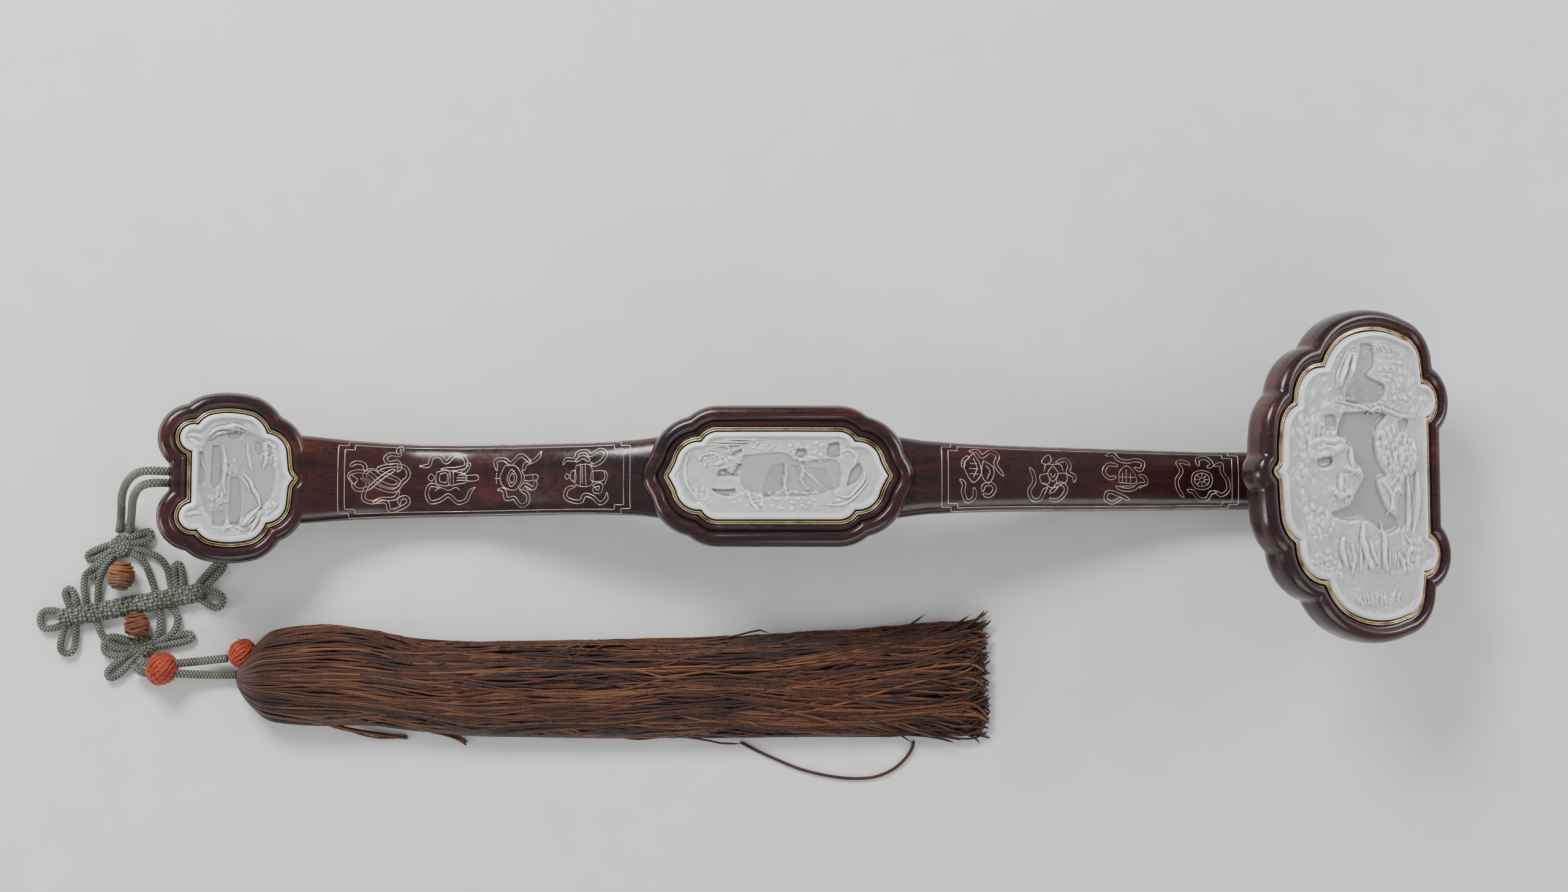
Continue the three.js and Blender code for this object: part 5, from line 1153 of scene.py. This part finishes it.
def tassel_threads():
    """Threads of a tassel. Each keeps its place in the half-round section, at (a, h) with |a|, h from 0 to 1,
    along the stations. It sweeps across its neighbours with its bundle, and strays at its end."""
    dice = np.random.default_rng(11)
    columns = [np.array(c, float) for c in zip(*TASSEL)]
    x_at, y_at, wide_at, tall_at = (smooth_row(c) for c in columns)
    last = len(TASSEL) - 1
    bundles = [(dice.uniform(-1, 1), dice.normal(0, 0.22), dice.uniform(0, 6.28), dice.uniform(0, 6.28),
                dice.normal(0, 0.3), dice.uniform(1.0, 2.0)) for _ in range(48)]
    lines = []
    for k in range(480):
        centre, sway, p1, p2, slant, pace = bundles[k % len(bundles)]
        top = k < 340
        a = np.clip(centre + dice.normal(0, 0.08), -0.99, 0.99)
        limit = math.sqrt(1 - abs(a) ** 2.2)
        h = limit * (dice.uniform(0.86, 1.0) if top else dice.uniform(0.05, 0.8))
        end = last - 1.9 * dice.uniform() ** 1.6 if dice.uniform() < 0.92 else last * dice.uniform(0.72, 0.92)
        start = dice.uniform(0.0, 0.35)
        s = np.linspace(start, end, 90)
        x, y, wide, tall = x_at(s), y_at(s), wide_at(s), tall_at(s)
        q = (x - x[0]) / 38
        slow = np.minimum(q / 2, 1)
        drift = (slant + dice.normal(0, 0.08)) * q / 7 + slow * (
            sway * np.sin(pace * q + p1) + sum(dice.normal(0, 0.04) * np.sin(w * q + dice.uniform(0, 6.28))
                                               for w in (1.7, 3.1, 5.3)))
        aa = a + drift
        aa = np.where(np.abs(aa) > 1, np.sign(aa) * (1 - 0.3 * np.clip(np.abs(aa) - 1, 0, 0.8)), aa)
        hh = np.minimum(h + 0.07 * np.sin(1.3 * q + p2), np.sqrt(np.clip(1 - np.abs(aa) ** 2.2, 0, 1)) + 0.03)
        r = 0.46
        loose = np.clip((s - last + 3.4) / 3.4, 0, 1) ** 1.5
        stray = np.clip((s - end + 1.1) / 1.1, 0, 1) ** 2
        wave = loose * (dice.normal(0, 1.7) * np.sin(2.4 * q + p1) + dice.normal(0, 0.7) * np.sin(5.2 * q + p2))
        z = FLOOR + r + np.clip(hh, 0.0, 1) * (tall - 2 * r - 0.2) * (1 - 0.3 * loose)
        yy = y + aa * (wide - r) + wave + 2.6 * loose * (1 + aa) + stray * dice.normal(0, 3.0)
        xx = x - stray * abs(dice.normal(0, 1.5))
        zz = z + stray * dice.normal(0, 0.7)
        line = np.stack([np.minimum(xx, 68.6), np.clip(yy, -95.5, -46.5), np.clip(zz, FLOOR + r, None)], -1)
        lines.append((line, r * dice.uniform(0.82, 1.12), dice.uniform()))
    # two frayed stubs and a wavy thread that leave the bundle's near edge
    for count, points in ((7, [(-182, -84, 4), (-170, -89.4, 3), (-157, -92.2, 1.6), (-145, -93.4, 0.9)]),
                          (6, [(-150, -86, 4), (-136, -90.6, 2.6), (-128, -93, 1.3), (-124, -95.4, 0.9)]),
                          (1, [(-140, -90, 2), (-98, -92.8, 0.9), (-76, -91.2, 1.2), (-62, -93.9, 0.8), (-42, -91.6, 1.4),
                               (-26, -92.6, 1.6)])):
        for _ in range(count):
            jitter = dice.normal(0, 0.55, (len(points), 3)) * (1, 1, 0.3) * (count > 1)
            line = catmull(np.array(points, float) + jitter + (0, 0, FLOOR), 40)
            lines.append((line, 0.42, dice.uniform(0.4, 0.9)))
    return lines


def thread_mesh(name, lines, around=5):
    """Many threads in one mesh, each a fine tube. way and turn keep the place along and round the thread."""
    verts, faces, shades, ups_, count = [], [], [], [], 0
    for line, radius, shade in lines:
        tangent = np.gradient(line, axis=0)
        tangent /= np.maximum(np.linalg.norm(tangent, axis=1, keepdims=True), 1e-9)
        side = np.cross(tangent, (0, 0, 1.0))
        side /= np.maximum(np.linalg.norm(side, axis=1, keepdims=True), 1e-9)
        up = np.cross(side, tangent)
        t = np.linspace(0, 2 * math.pi, around, endpoint=False)
        taper = np.clip(np.minimum(np.arange(len(line)) + 0.3, np.arange(len(line))[::-1] + 0.15) / 1.2, 0.12, 1)
        r = radius * taper
        rings = line[:, None] + r[:, None, None] * (side[:, None] * np.cos(t)[None, :, None]
                                                    + up[:, None] * np.sin(t)[None, :, None])
        rows = len(line)
        quads = grid_faces(rows, around, False, count)[:, ::-1]
        faces += quads.tolist()
        faces += [[count + k for k in range(around)], [count + (rows - 1) * around + k for k in range(around)][::-1]]
        verts.append(rings.reshape(-1, 3))
        along = np.concatenate([[0], np.cumsum(np.linalg.norm(np.diff(line, axis=0), axis=1))])
        ups_.append(np.stack(np.broadcast_arrays(along[:, None], (t / (2 * math.pi))[None]), -1).reshape(-1, 2))
        shades.append(np.full(rows * around, shade))
        count += rows * around
    obj = recalculated(new_object(name, np.concatenate(verts), faces))
    mesh = obj.data
    mesh.attributes.new("shade", "FLOAT", "POINT").data.foreach_set("value", np.concatenate(shades).astype(np.float32))
    way = np.concatenate(ups_)
    mesh.attributes.new("way", "FLOAT", "POINT").data.foreach_set("value", way[:, 0].astype(np.float32))
    mesh.attributes.new("turn", "FLOAT", "POINT").data.foreach_set("value", way[:, 1].astype(np.float32))
    return obj


# ---- finishes ---------------------------------------------------------------------------------------------

def nodes_in(tree):
    """A short way to add nodes: add(type, settings, socket=value or another node's output)."""
    def add(kind, settings=None, **sockets):
        node = tree.nodes.new("ShaderNode" + kind)
        for key, value in (settings or {}).items():
            setattr(node, key, value)
        for key, value in sockets.items():
            socket = node.inputs[int(key[1:])] if key[0] == "i" and key[1:].isdigit() else node.inputs[key.replace("_", " ")]
            if isinstance(value, bpy.types.NodeSocket):
                tree.links.new(value, socket)
            else:
                socket.default_value = value
        return node
    return add


def ramp(add, value, *stops, smooth=True):
    """A colour ramp over a value: stops are (place, colour or grey)."""
    node = add("ValToRGB", i0=value)
    elements = node.color_ramp.elements
    node.color_ramp.interpolation = "EASE" if smooth else "LINEAR"
    while len(elements) < len(stops):
        elements.new(0.5)
    for element, (place, colour) in zip(elements, stops):
        element.position = place
        element.color = (*(colour if isinstance(colour, tuple) else (colour,) * 3), 1)
    return node.outputs[0]


def group(name, inputs, outputs, build):
    """A node group used by several finishes: sockets are (name, kind, value)."""
    tree = bpy.data.node_groups.new(name, "ShaderNodeTree")
    for socket, kind, value in inputs:
        s = tree.interface.new_socket(socket, in_out="INPUT", socket_type=kind)
        if value is not None:
            s.default_value = value
    for socket, kind in outputs:
        tree.interface.new_socket(socket, in_out="OUTPUT", socket_type=kind)
    build(nodes_in(tree), tree, tree.nodes.new("NodeGroupInput").outputs, tree.nodes.new("NodeGroupOutput").inputs)
    return tree


FLOAT, COLOUR, VECTOR = "NodeSocketFloat", "NodeSocketColor", "NodeSocketVector"


def build_wear(add, tree, i, o):
    """Handling marks: soft cloudy gloss and a few fine scratches."""
    cloud = add("TexNoise", Vector=i["Vector"], Scale=38.0, Detail=4.0, Roughness=0.6)
    fine = add("TexNoise", Vector=i["Vector"], Scale=420.0, Detail=3.0)
    stretched = add("Mapping", Vector=i["Vector"], Scale=(60.0, 900.0, 500.0), Rotation=(0.2, 0.1, 0.35))
    lines = add("TexNoise", Vector=stretched.outputs[0], Scale=1.0, Detail=2.0)
    scratch = ramp(add, lines.outputs[0], (0.66, 0.0), (0.72, 1.0))
    mixed = add("Math", {"operation": "MULTIPLY_ADD"}, i0=cloud.outputs[0], i1=0.6, i2=fine.outputs[0])
    amount = add("Math", {"operation": "MULTIPLY"}, i0=mixed.outputs[0], i1=0.62)
    tree.links.new(amount.outputs[0], o["Cloud"])
    tree.links.new(scratch, o["Scratch"])


def build_plait(add, tree, i, o):
    """A round plait of silk: two sets of slanted ridges cross over each other like bricks."""
    uv = add("UVMap", {"uv_map": "UVMap"})
    split = add("SeparateXYZ", i0=uv.outputs[0])
    around = add("Math", {"operation": "MULTIPLY"}, i0=split.outputs[0], i1=i["Strands"])
    along = add("Math", {"operation": "DIVIDE"}, i0=split.outputs[1], i1=i["Pitch"])
    a = add("Math", {"operation": "ADD"}, i0=around.outputs[0], i1=along.outputs[0])
    b = add("Math", {"operation": "SUBTRACT"}, i0=around.outputs[0], i1=along.outputs[0])

    def wave(value):
        turn = add("Math", {"operation": "MULTIPLY"}, i0=value, i1=2 * math.pi)
        sine = add("Math", {"operation": "SINE"}, i0=turn.outputs[0])
        return add("Math", {"operation": "ABSOLUTE"}, i0=sine.outputs[0]).outputs[0]
    lumps = add("Math", {"operation": "MULTIPLY"}, i0=wave(a.outputs[0]), i1=wave(b.outputs[0]))
    coords = add("CombineXYZ", i0=a.outputs[0], i1=b.outputs[0], i2=0.0)
    threads = add("TexNoise", Vector=coords.outputs[0], Scale=9.0, Detail=2.0)
    height = add("Math", {"operation": "MULTIPLY_ADD"}, i0=threads.outputs[0], i1=0.35, i2=lumps.outputs[0])
    tree.links.new(height.outputs[0], o["Height"])
    tree.links.new(lumps.outputs[0], o["Lump"])


WEAR = group("handling", [("Vector", VECTOR, None)], [("Cloud", FLOAT), ("Scratch", FLOAT)], build_wear)
PLAIT = group("silk_plait", [("Strands", FLOAT, 2.0), ("Pitch", FLOAT, 2.4)], [("Height", FLOAT), ("Lump", FLOAT)], build_plait)


def material(name, build, **sockets):
    """A finish: constants go on the shader's own sockets, and build links colour, roughness and normal."""
    mat = bpy.data.materials.new(name)
    mat.use_nodes = True
    tree = mat.node_tree
    shader = tree.nodes["Principled BSDF"]
    for key, value in sockets.items():
        shader.inputs[key.replace("_", " ")].default_value = value
    add = nodes_in(tree)
    coords = add("TexCoord").outputs["Object"]
    links = build(add, coords)
    for key, socket in links.items():
        tree.links.new(socket, shader.inputs[key.replace("_", " ")])
    return mat


def bump(add, height, strength, distance, under=None):
    node = add("Bump", Height=height, Strength=strength, Distance=distance)
    if under is not None:
        node.id_data.links.new(under, node.inputs["Normal"])
    return node.outputs[0]


def mix(add, factor, a, b, blend="MIX"):
    node = add("Mix", {"data_type": "RGBA", "blend_type": blend})
    for socket, value in ((node.inputs[0], factor), (node.inputs[6], a), (node.inputs[7], b)):
        if isinstance(value, bpy.types.NodeSocket):
            node.id_data.links.new(value, socket)
        else:
            socket.default_value = (*value, 1) if isinstance(value, tuple) else value
    return node.outputs[2]


def grouped(add, tree_, **sockets):
    node = add("Group", {"node_tree": tree_})
    for key, value in sockets.items():
        socket = node.inputs[key]
        if isinstance(value, bpy.types.NodeSocket):
            node.id_data.links.new(value, socket)
        else:
            socket.default_value = value
    return node.outputs


def build_wood(add, p):
    """Dense polished hardwood: long dark grain on red-brown, fine pores, rubbed places."""
    long_ = add("Mapping", Vector=p, Scale=(14.0, 120.0, 120.0)).outputs[0]
    warp = add("TexNoise", Vector=long_, Scale=1.2, Detail=5.0, Roughness=0.6, Distortion=0.8)
    pores_map = add("Mapping", Vector=p, Scale=(90.0, 1400.0, 1400.0)).outputs[0]
    pores = add("TexNoise", Vector=pores_map, Scale=1.0, Detail=2.0)
    pore = ramp(add, pores.outputs[0], (0.58, 0.0), (0.7, 1.0))
    base = ramp(add, warp.outputs[0], (0.25, (0.010, 0.0035, 0.0045)), (0.5, (0.030, 0.0085, 0.009)),
                (0.75, (0.075, 0.018, 0.013)))
    broad = add("TexNoise", Vector=p, Scale=16.0, Detail=2.0)
    shift = ramp(add, broad.outputs[0], (0.35, (0.75, 0.8, 1.0)), (0.65, (1.35, 1.0, 0.85)))
    tint = mix(add, pore, mix(add, 1.0, base, shift, "MULTIPLY"), (0.005, 0.002, 0.0025))
    wear = grouped(add, WEAR, Vector=p)
    rough = ramp(add, wear["Cloud"], (0.35, 0.2), (0.7, 0.34))
    scratched = mix(add, wear["Scratch"], rough, (0.38, 0.38, 0.38))
    normal = bump(add, pores.outputs[0], 0.08, 0.0001)
    normal = bump(add, wear["Cloud"], 0.08, 0.0004, normal)
    return dict(Base_Color=tint, Roughness=scratched, Normal=normal)


def build_jade(add, p):
    """White jade: cloudy white; darker towards the deep carving, painted shade with some of the greyer look of the
    thinner jade; painted highlights on the carving's ridges and painted shade in its crevices.
    """
    # darker towards the deep carving: painted shade, with some of the greyer look of the thinner jade there
    depth = add("Attribute", {"attribute_name": "relief"}).outputs["Fac"]
    scaled = add("MapRange", i0=depth, i1=-1.6, i2=0.5, i3=0.0, i4=1.0).outputs[0]
    tone = ramp(add, scaled, (0.0, (0.37, 0.37, 0.35)), (0.3, (0.45, 0.45, 0.43)), (0.55, (0.60, 0.60, 0.575)),
                (0.78, (0.69, 0.695, 0.67)), (1.0, (0.73, 0.74, 0.73)))
    # painted highlight on the carving's ridges and painted shade in its crevices, from the height over the blurred
    # surroundings
    crest = add("Attribute", {"attribute_name": "crest"}).outputs["Fac"]
    raised = add("MapRange", i0=crest, i1=-0.35, i2=0.35, i3=0.0, i4=1.0).outputs[0]
    edge = ramp(add, raised, (0.0, (0.66, 0.66, 0.64)), (0.5, (0.97, 0.97, 0.96)), (1.0, (1.24, 1.24, 1.21)))
    cloud = add("TexNoise", Vector=p, Scale=70.0, Detail=5.0, Roughness=0.55, Distortion=0.6)
    veil = ramp(add, cloud.outputs[0], (0.35, (0.90, 0.91, 0.93)), (0.55, (1.0, 1.0, 1.0)), (0.75, (0.98, 0.96, 0.91)))
    colour = mix(add, 1.0, mix(add, 1.0, tone, edge, "MULTIPLY"), veil, "MULTIPLY")
    grain = add("TexNoise", Vector=p, Scale=900.0, Detail=3.0)
    rough = ramp(add, cloud.outputs[0], (0.3, 0.2), (0.7, 0.32))
    normal = bump(add, grain.outputs[0], 0.1, 0.0001)
    return dict(Base_Color=colour, Roughness=rough, Normal=normal)


def build_gilt(add, p):
    """Pale gold wire, mottled at random between brighter gold and browner places."""
    cloud = add("TexNoise", Vector=p, Scale=240.0, Detail=4.0)
    tone = ramp(add, cloud.outputs[0], (0.3, (0.36, 0.24, 0.11)), (0.5, (0.72, 0.58, 0.36)), (0.7, (0.90, 0.80, 0.58)))
    fine = add("TexNoise", Vector=p, Scale=1500.0, Detail=2.0)
    rough = ramp(add, cloud.outputs[0], (0.3, 0.42), (0.7, 0.24))
    return dict(Base_Color=tone, Roughness=rough, Normal=bump(add, fine.outputs[0], 0.25, 0.0001))


def build_silver(add, p):
    """Hammered silver wire with a warm tarnish."""
    cloud = add("TexNoise", Vector=p, Scale=160.0, Detail=4.0)
    tone = ramp(add, cloud.outputs[0], (0.3, (0.30, 0.22, 0.17)), (0.5, (0.58, 0.49, 0.40)), (0.72, (0.80, 0.74, 0.66)))
    fine = add("TexNoise", Vector=p, Scale=1300.0, Detail=2.0)
    rough = ramp(add, cloud.outputs[0], (0.3, 0.45), (0.7, 0.28))
    return dict(Base_Color=tone, Roughness=rough, Normal=bump(add, fine.outputs[0], 0.3, 0.0001))


def plaited_silk(dark, mid, light, strands, pitch):
    def build(add, p):
        plait = grouped(add, PLAIT, Strands=strands, Pitch=pitch)
        # the plait's height sets the colour: painted shade in the low places between its lumps and painted light on
        # their tops
        tone = ramp(add, plait["Height"], (0.1, dark), (0.55, mid), (1.0, light))
        age = add("TexNoise", Vector=p, Scale=110.0, Detail=4.0)
        stain = ramp(add, age.outputs[0], (0.35, (0.62, 0.58, 0.5)), (0.6, (1.0, 1.0, 1.0)))
        colour = mix(add, 1.0, tone, stain, "MULTIPLY")
        fibre = add("TexNoise", Vector=p, Scale=2600.0, Detail=2.0)
        normal = bump(add, fibre.outputs[0], 0.25, 0.0001, bump(add, plait["Height"], 0.9, 0.0005))
        rough = ramp(add, fibre.outputs[0], (0.3, 0.55), (0.7, 0.75))
        return dict(Base_Color=colour, Roughness=rough, Normal=normal)
    return build


def wound_silk(dark, light, other=None, split=None):
    def build(add, p):
        uv = add("UVMap", {"uv_map": "UVMap"}).outputs[0]
        lines = add("Mapping", Vector=uv, Scale=(7.0, 0.35, 1.0)).outputs[0]
        ply = add("TexNoise", Vector=lines, Scale=2.0, Detail=3.0)
        tone = ramp(add, ply.outputs[0], (0.3, dark), (0.7, light))
        if other:
            place = add("SeparateXYZ", i0=p).outputs[1]
            side = add("MapRange", i0=place, i1=split - 0.0012, i2=split + 0.0012, i3=0.0, i4=1.0).outputs[0]
            second = ramp(add, ply.outputs[0], (0.3, other[0]), (0.7, other[1]))
            tone = mix(add, side, second, tone)
        age = add("TexNoise", Vector=p, Scale=160.0, Detail=4.0)
        stain = ramp(add, age.outputs[0], (0.3, (0.66, 0.6, 0.55)), (0.62, (1.0, 1.0, 1.0)))
        colour = mix(add, 1.0, tone, stain, "MULTIPLY")
        rough = ramp(add, ply.outputs[0], (0.3, 0.5), (0.7, 0.7))
        return dict(Base_Color=colour, Roughness=rough, Normal=bump(add, ply.outputs[0], 0.6, 0.0003))
    return build


def build_tassel(add, p):
    """Rust-brown silk threads: each thread has its own tone, a two-ply twist with painted shade in its grooves, and
    dusty lighter places.
    """
    shade = add("Attribute", {"attribute_name": "shade"}).outputs["Fac"]
    way = add("Attribute", {"attribute_name": "way"}).outputs["Fac"]
    turn = add("Attribute", {"attribute_name": "turn"}).outputs["Fac"]
    twist = add("Math", {"operation": "MULTIPLY_ADD"}, i0=way, i1=0.55, i2=turn)
    lobes = add("Math", {"operation": "MULTIPLY"}, i0=twist.outputs[0], i1=2 * math.pi)
    ply = add("Math", {"operation": "ABSOLUTE"}, i0=add("Math", {"operation": "SINE"}, i0=lobes.outputs[0]).outputs[0])
    tone = ramp(add, shade, (0.0, (0.024, 0.008, 0.005)), (0.35, (0.058, 0.018, 0.008)), (0.68, (0.110, 0.035, 0.012)),
                (0.93, (0.23, 0.088, 0.030)))
    cloud = add("TexNoise", Vector=p, Scale=45.0, Detail=4.0)
    patch = ramp(add, cloud.outputs[0], (0.35, (0.68, 0.62, 0.58)), (0.5, (1.0, 1.0, 1.0)), (0.68, (1.25, 1.1, 0.9)))
    colour = mix(add, 1.0, tone, patch, "MULTIPLY")
    # painted shade in the grooves of the two-ply twist: the colour darkens to about a third where the plies meet
    groove = ramp(add, ply.outputs[0], (0.0, 0.35), (0.35, 1.0))
    colour = mix(add, 1.0, colour, groove, "MULTIPLY")
    fibre = add("TexNoise", Vector=p, Scale=2400.0, Detail=2.0)
    normal = bump(add, fibre.outputs[0], 0.3, 0.0001, bump(add, ply.outputs[0], 0.7, 0.0004))
    rough = ramp(add, fibre.outputs[0], (0.3, 0.42), (0.7, 0.6))
    return dict(Base_Color=colour, Roughness=rough, Normal=normal)


def build_floor(add, p):
    grain = add("TexNoise", Vector=p, Scale=60.0, Detail=3.0)
    tone = ramp(add, grain.outputs[0], (0.3, (0.84, 0.83, 0.81)), (0.7, (0.87, 0.86, 0.84)))
    return dict(Base_Color=tone, Roughness=ramp(add, grain.outputs[0], (0.3, 0.75), (0.7, 0.85)))


ZITAN = material("zitan_wood", build_wood, Specular_IOR_Level=0.45, Coat_Weight=0.2, Coat_Roughness=0.1)
JADE = material("white_jade", build_jade, Subsurface_Weight=0.2, Subsurface_Radius=(0.0012, 0.0012, 0.001),
                Subsurface_Scale=1.0, Specular_IOR_Level=0.6, Coat_Weight=0.3, Coat_Roughness=0.1)
GILT = material("gilt_wire", build_gilt, Metallic=1.0)
SILVER = material("silver_wire", build_silver, Metallic=0.85)
GREEN = material("green_silk", plaited_silk((0.035, 0.042, 0.034), (0.135, 0.16, 0.125), (0.33, 0.36, 0.29), 2.0, 2.4),
                 Sheen_Weight=0.25, Sheen_Roughness=0.4)
ORANGE = material("orange_thread", wound_silk((0.12, 0.036, 0.009), (0.47, 0.155, 0.036),
                                              ((0.09, 0.035, 0.02), (0.32, 0.145, 0.09)), -0.0348),
                  Sheen_Weight=0.2, Sheen_Roughness=0.4)
RUST = material("rust_thread", wound_silk((0.06, 0.018, 0.007), (0.33, 0.10, 0.03)), Sheen_Weight=0.2, Sheen_Roughness=0.4)
CORAL = material("coral_silk", wound_silk((0.20, 0.018, 0.007), (0.60, 0.075, 0.022)), Sheen_Weight=0.1, Sheen_Roughness=0.4)
BROWN = material("brown_silk", build_tassel, Sheen_Weight=0.12, Sheen_Roughness=0.35)
FLOOR_FINISH = material("floor", build_floor)


def dressed(obj, finish, slot, *nodes, body="root"):
    """Gives a piece its finish, its body and the nodes that it stands for. Its slot is not used."""
    obj.data.materials.clear()
    obj.data.materials.append(finish)
    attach(obj, body)
    if nodes:
        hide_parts(*nodes)
    return obj


# ---- camera, light and floor -------------------------------------------------------------------------------

camera_data = bpy.data.cameras.new("camera")
camera_data.lens, camera_data.sensor_width = 50, 36
camera = bpy.data.objects.new("camera", camera_data)
bpy.context.scene.collection.objects.link(camera)
camera.location = (-0.008, -0.0427, 0.8005)
camera.rotation_euler = (4 * DEG, 0, 0)
bpy.context.scene.camera = camera

floor = new_object("floor", [(-3000, -3000, 0), (3000, -3000, 0), (3000, 3000, 0), (-3000, 3000, 0)], [(0, 1, 2, 3)],
                   smooth=False)
floor.data.materials.append(FLOOR_FINISH)


def area_light(name, place, size, power, colour=(1, 1, 1), aim=(0, 0, 0.02)):
    data = bpy.data.lights.new(name, "AREA")
    data.shape, data.size, data.size_y = "RECTANGLE", *size
    data.energy, data.color = power, colour
    light = bpy.data.objects.new(name, data)
    bpy.context.scene.collection.objects.link(light)
    light.location = place
    light.rotation_euler = (Vector(aim) - Vector(place)).to_track_quat("-Z", "Y").to_euler()


area_light("key", (-0.45, 0.70, 0.70), (0.45, 0.3), 11)
area_light("fill", (0.45, -0.95, 0.65), (1.1, 0.5), 4)
area_light("side", (0.95, 0.35, 0.40), (0.4, 0.4), 4)
area_light("low", (-0.95, -0.25, 0.32), (0.3, 0.3), 2.5, (1.0, 0.97, 0.93))
world = bpy.data.worlds.new("world")
bpy.context.scene.world = world
world.use_nodes = True
world.node_tree.nodes["Background"].inputs[0].default_value = (0.9, 0.93, 1.0, 1)
world.node_tree.nodes["Background"].inputs[1].default_value = 0.42


# ---- the pieces ----------------------------------------------------------------------------------------------

knots = dressed(knotwork(), GREEN, "green_silk", "cord_knotwork")
bead_upper = dressed(wound("bead_upper_wound", (*BEAD_UPPER["at"], FLOOR + 5.3), (0.1, 1, 0), BEAD_UPPER["r"],
                           BEAD_UPPER["length"], 9, 0.6, tilt=0.3, waves=0.16, seed=3), ORANGE, "orange_thread", "bead_upper")
bead_lower = dressed(wound("bead_lower_wound", (*BEAD_LOWER["at"], FLOOR + 4.9), (-0.1, 1, 0), BEAD_LOWER["r"],
                           BEAD_LOWER["length"], 12, 0.5, tilt=1.3, waves=0.5, seed=4), RUST, "orange_thread", "bead_lower")
coral_large = dressed(coral_knot("coral_knot_large_wound", (*CORAL_LARGE["at"], FLOOR + 6.5), 6.4, (0.92, 1, 1), 0.82, 5),
                      CORAL, "coral_silk", "coral_knot_large")
coral_small = dressed(coral_knot("coral_knot_small_wound", (*CORAL_SMALL["at"], FLOOR + 5.1), 5.4, (0.98, 1.02, 0.96), 0.66, 6),
                      CORAL, "coral_silk", "coral_knot_small")

for node, points in STRANDS.items():
    line = catmull(points, 72)
    strand = dressed(tube(node + "_silk", line, CORD_R, 16), GREEN, "green_silk", node)

threads = tassel_threads()
for k in range(4):
    dressed(thread_mesh(f"tassel_threads_{k + 1}", threads[k::4]), BROWN, "brown_silk", "tassel")

line = catmull([(*p, 0.7) for p in LOOSE_THREAD], 90)
loose = dressed(thread_mesh("tassel_stray_thread", [(line, 0.58, 0.45)], 8), BROWN, "brown_silk", "tassel_loose_thread")

shaft = shaft_body(8, 64)
inlay = dressed(silver_inlay(shaft), SILVER, "gilt_wire")
bpy.data.objects.remove(shaft)
wood = dressed(wood_sceptre(), ZITAN, "zitan_wood", "wood_sceptre")
for part, rows, rings, seed in (("head", HEAD_RELIEF, 170, 21), ("middle", MIDDLE_RELIEF, 72, 22), ("tail", TAIL_RELIEF, 96, 23)):
    dressed(jade_plaque(f"jade_{part}_carved", PLAQUES[part], rows, rings, seed), JADE, "white_jade", f"jade_{part}")
    dressed(wire_rim(f"wire_rim_{part}_drawn", PLAQUES[part]), GILT, "gilt_wire", f"wire_rim_{part}")
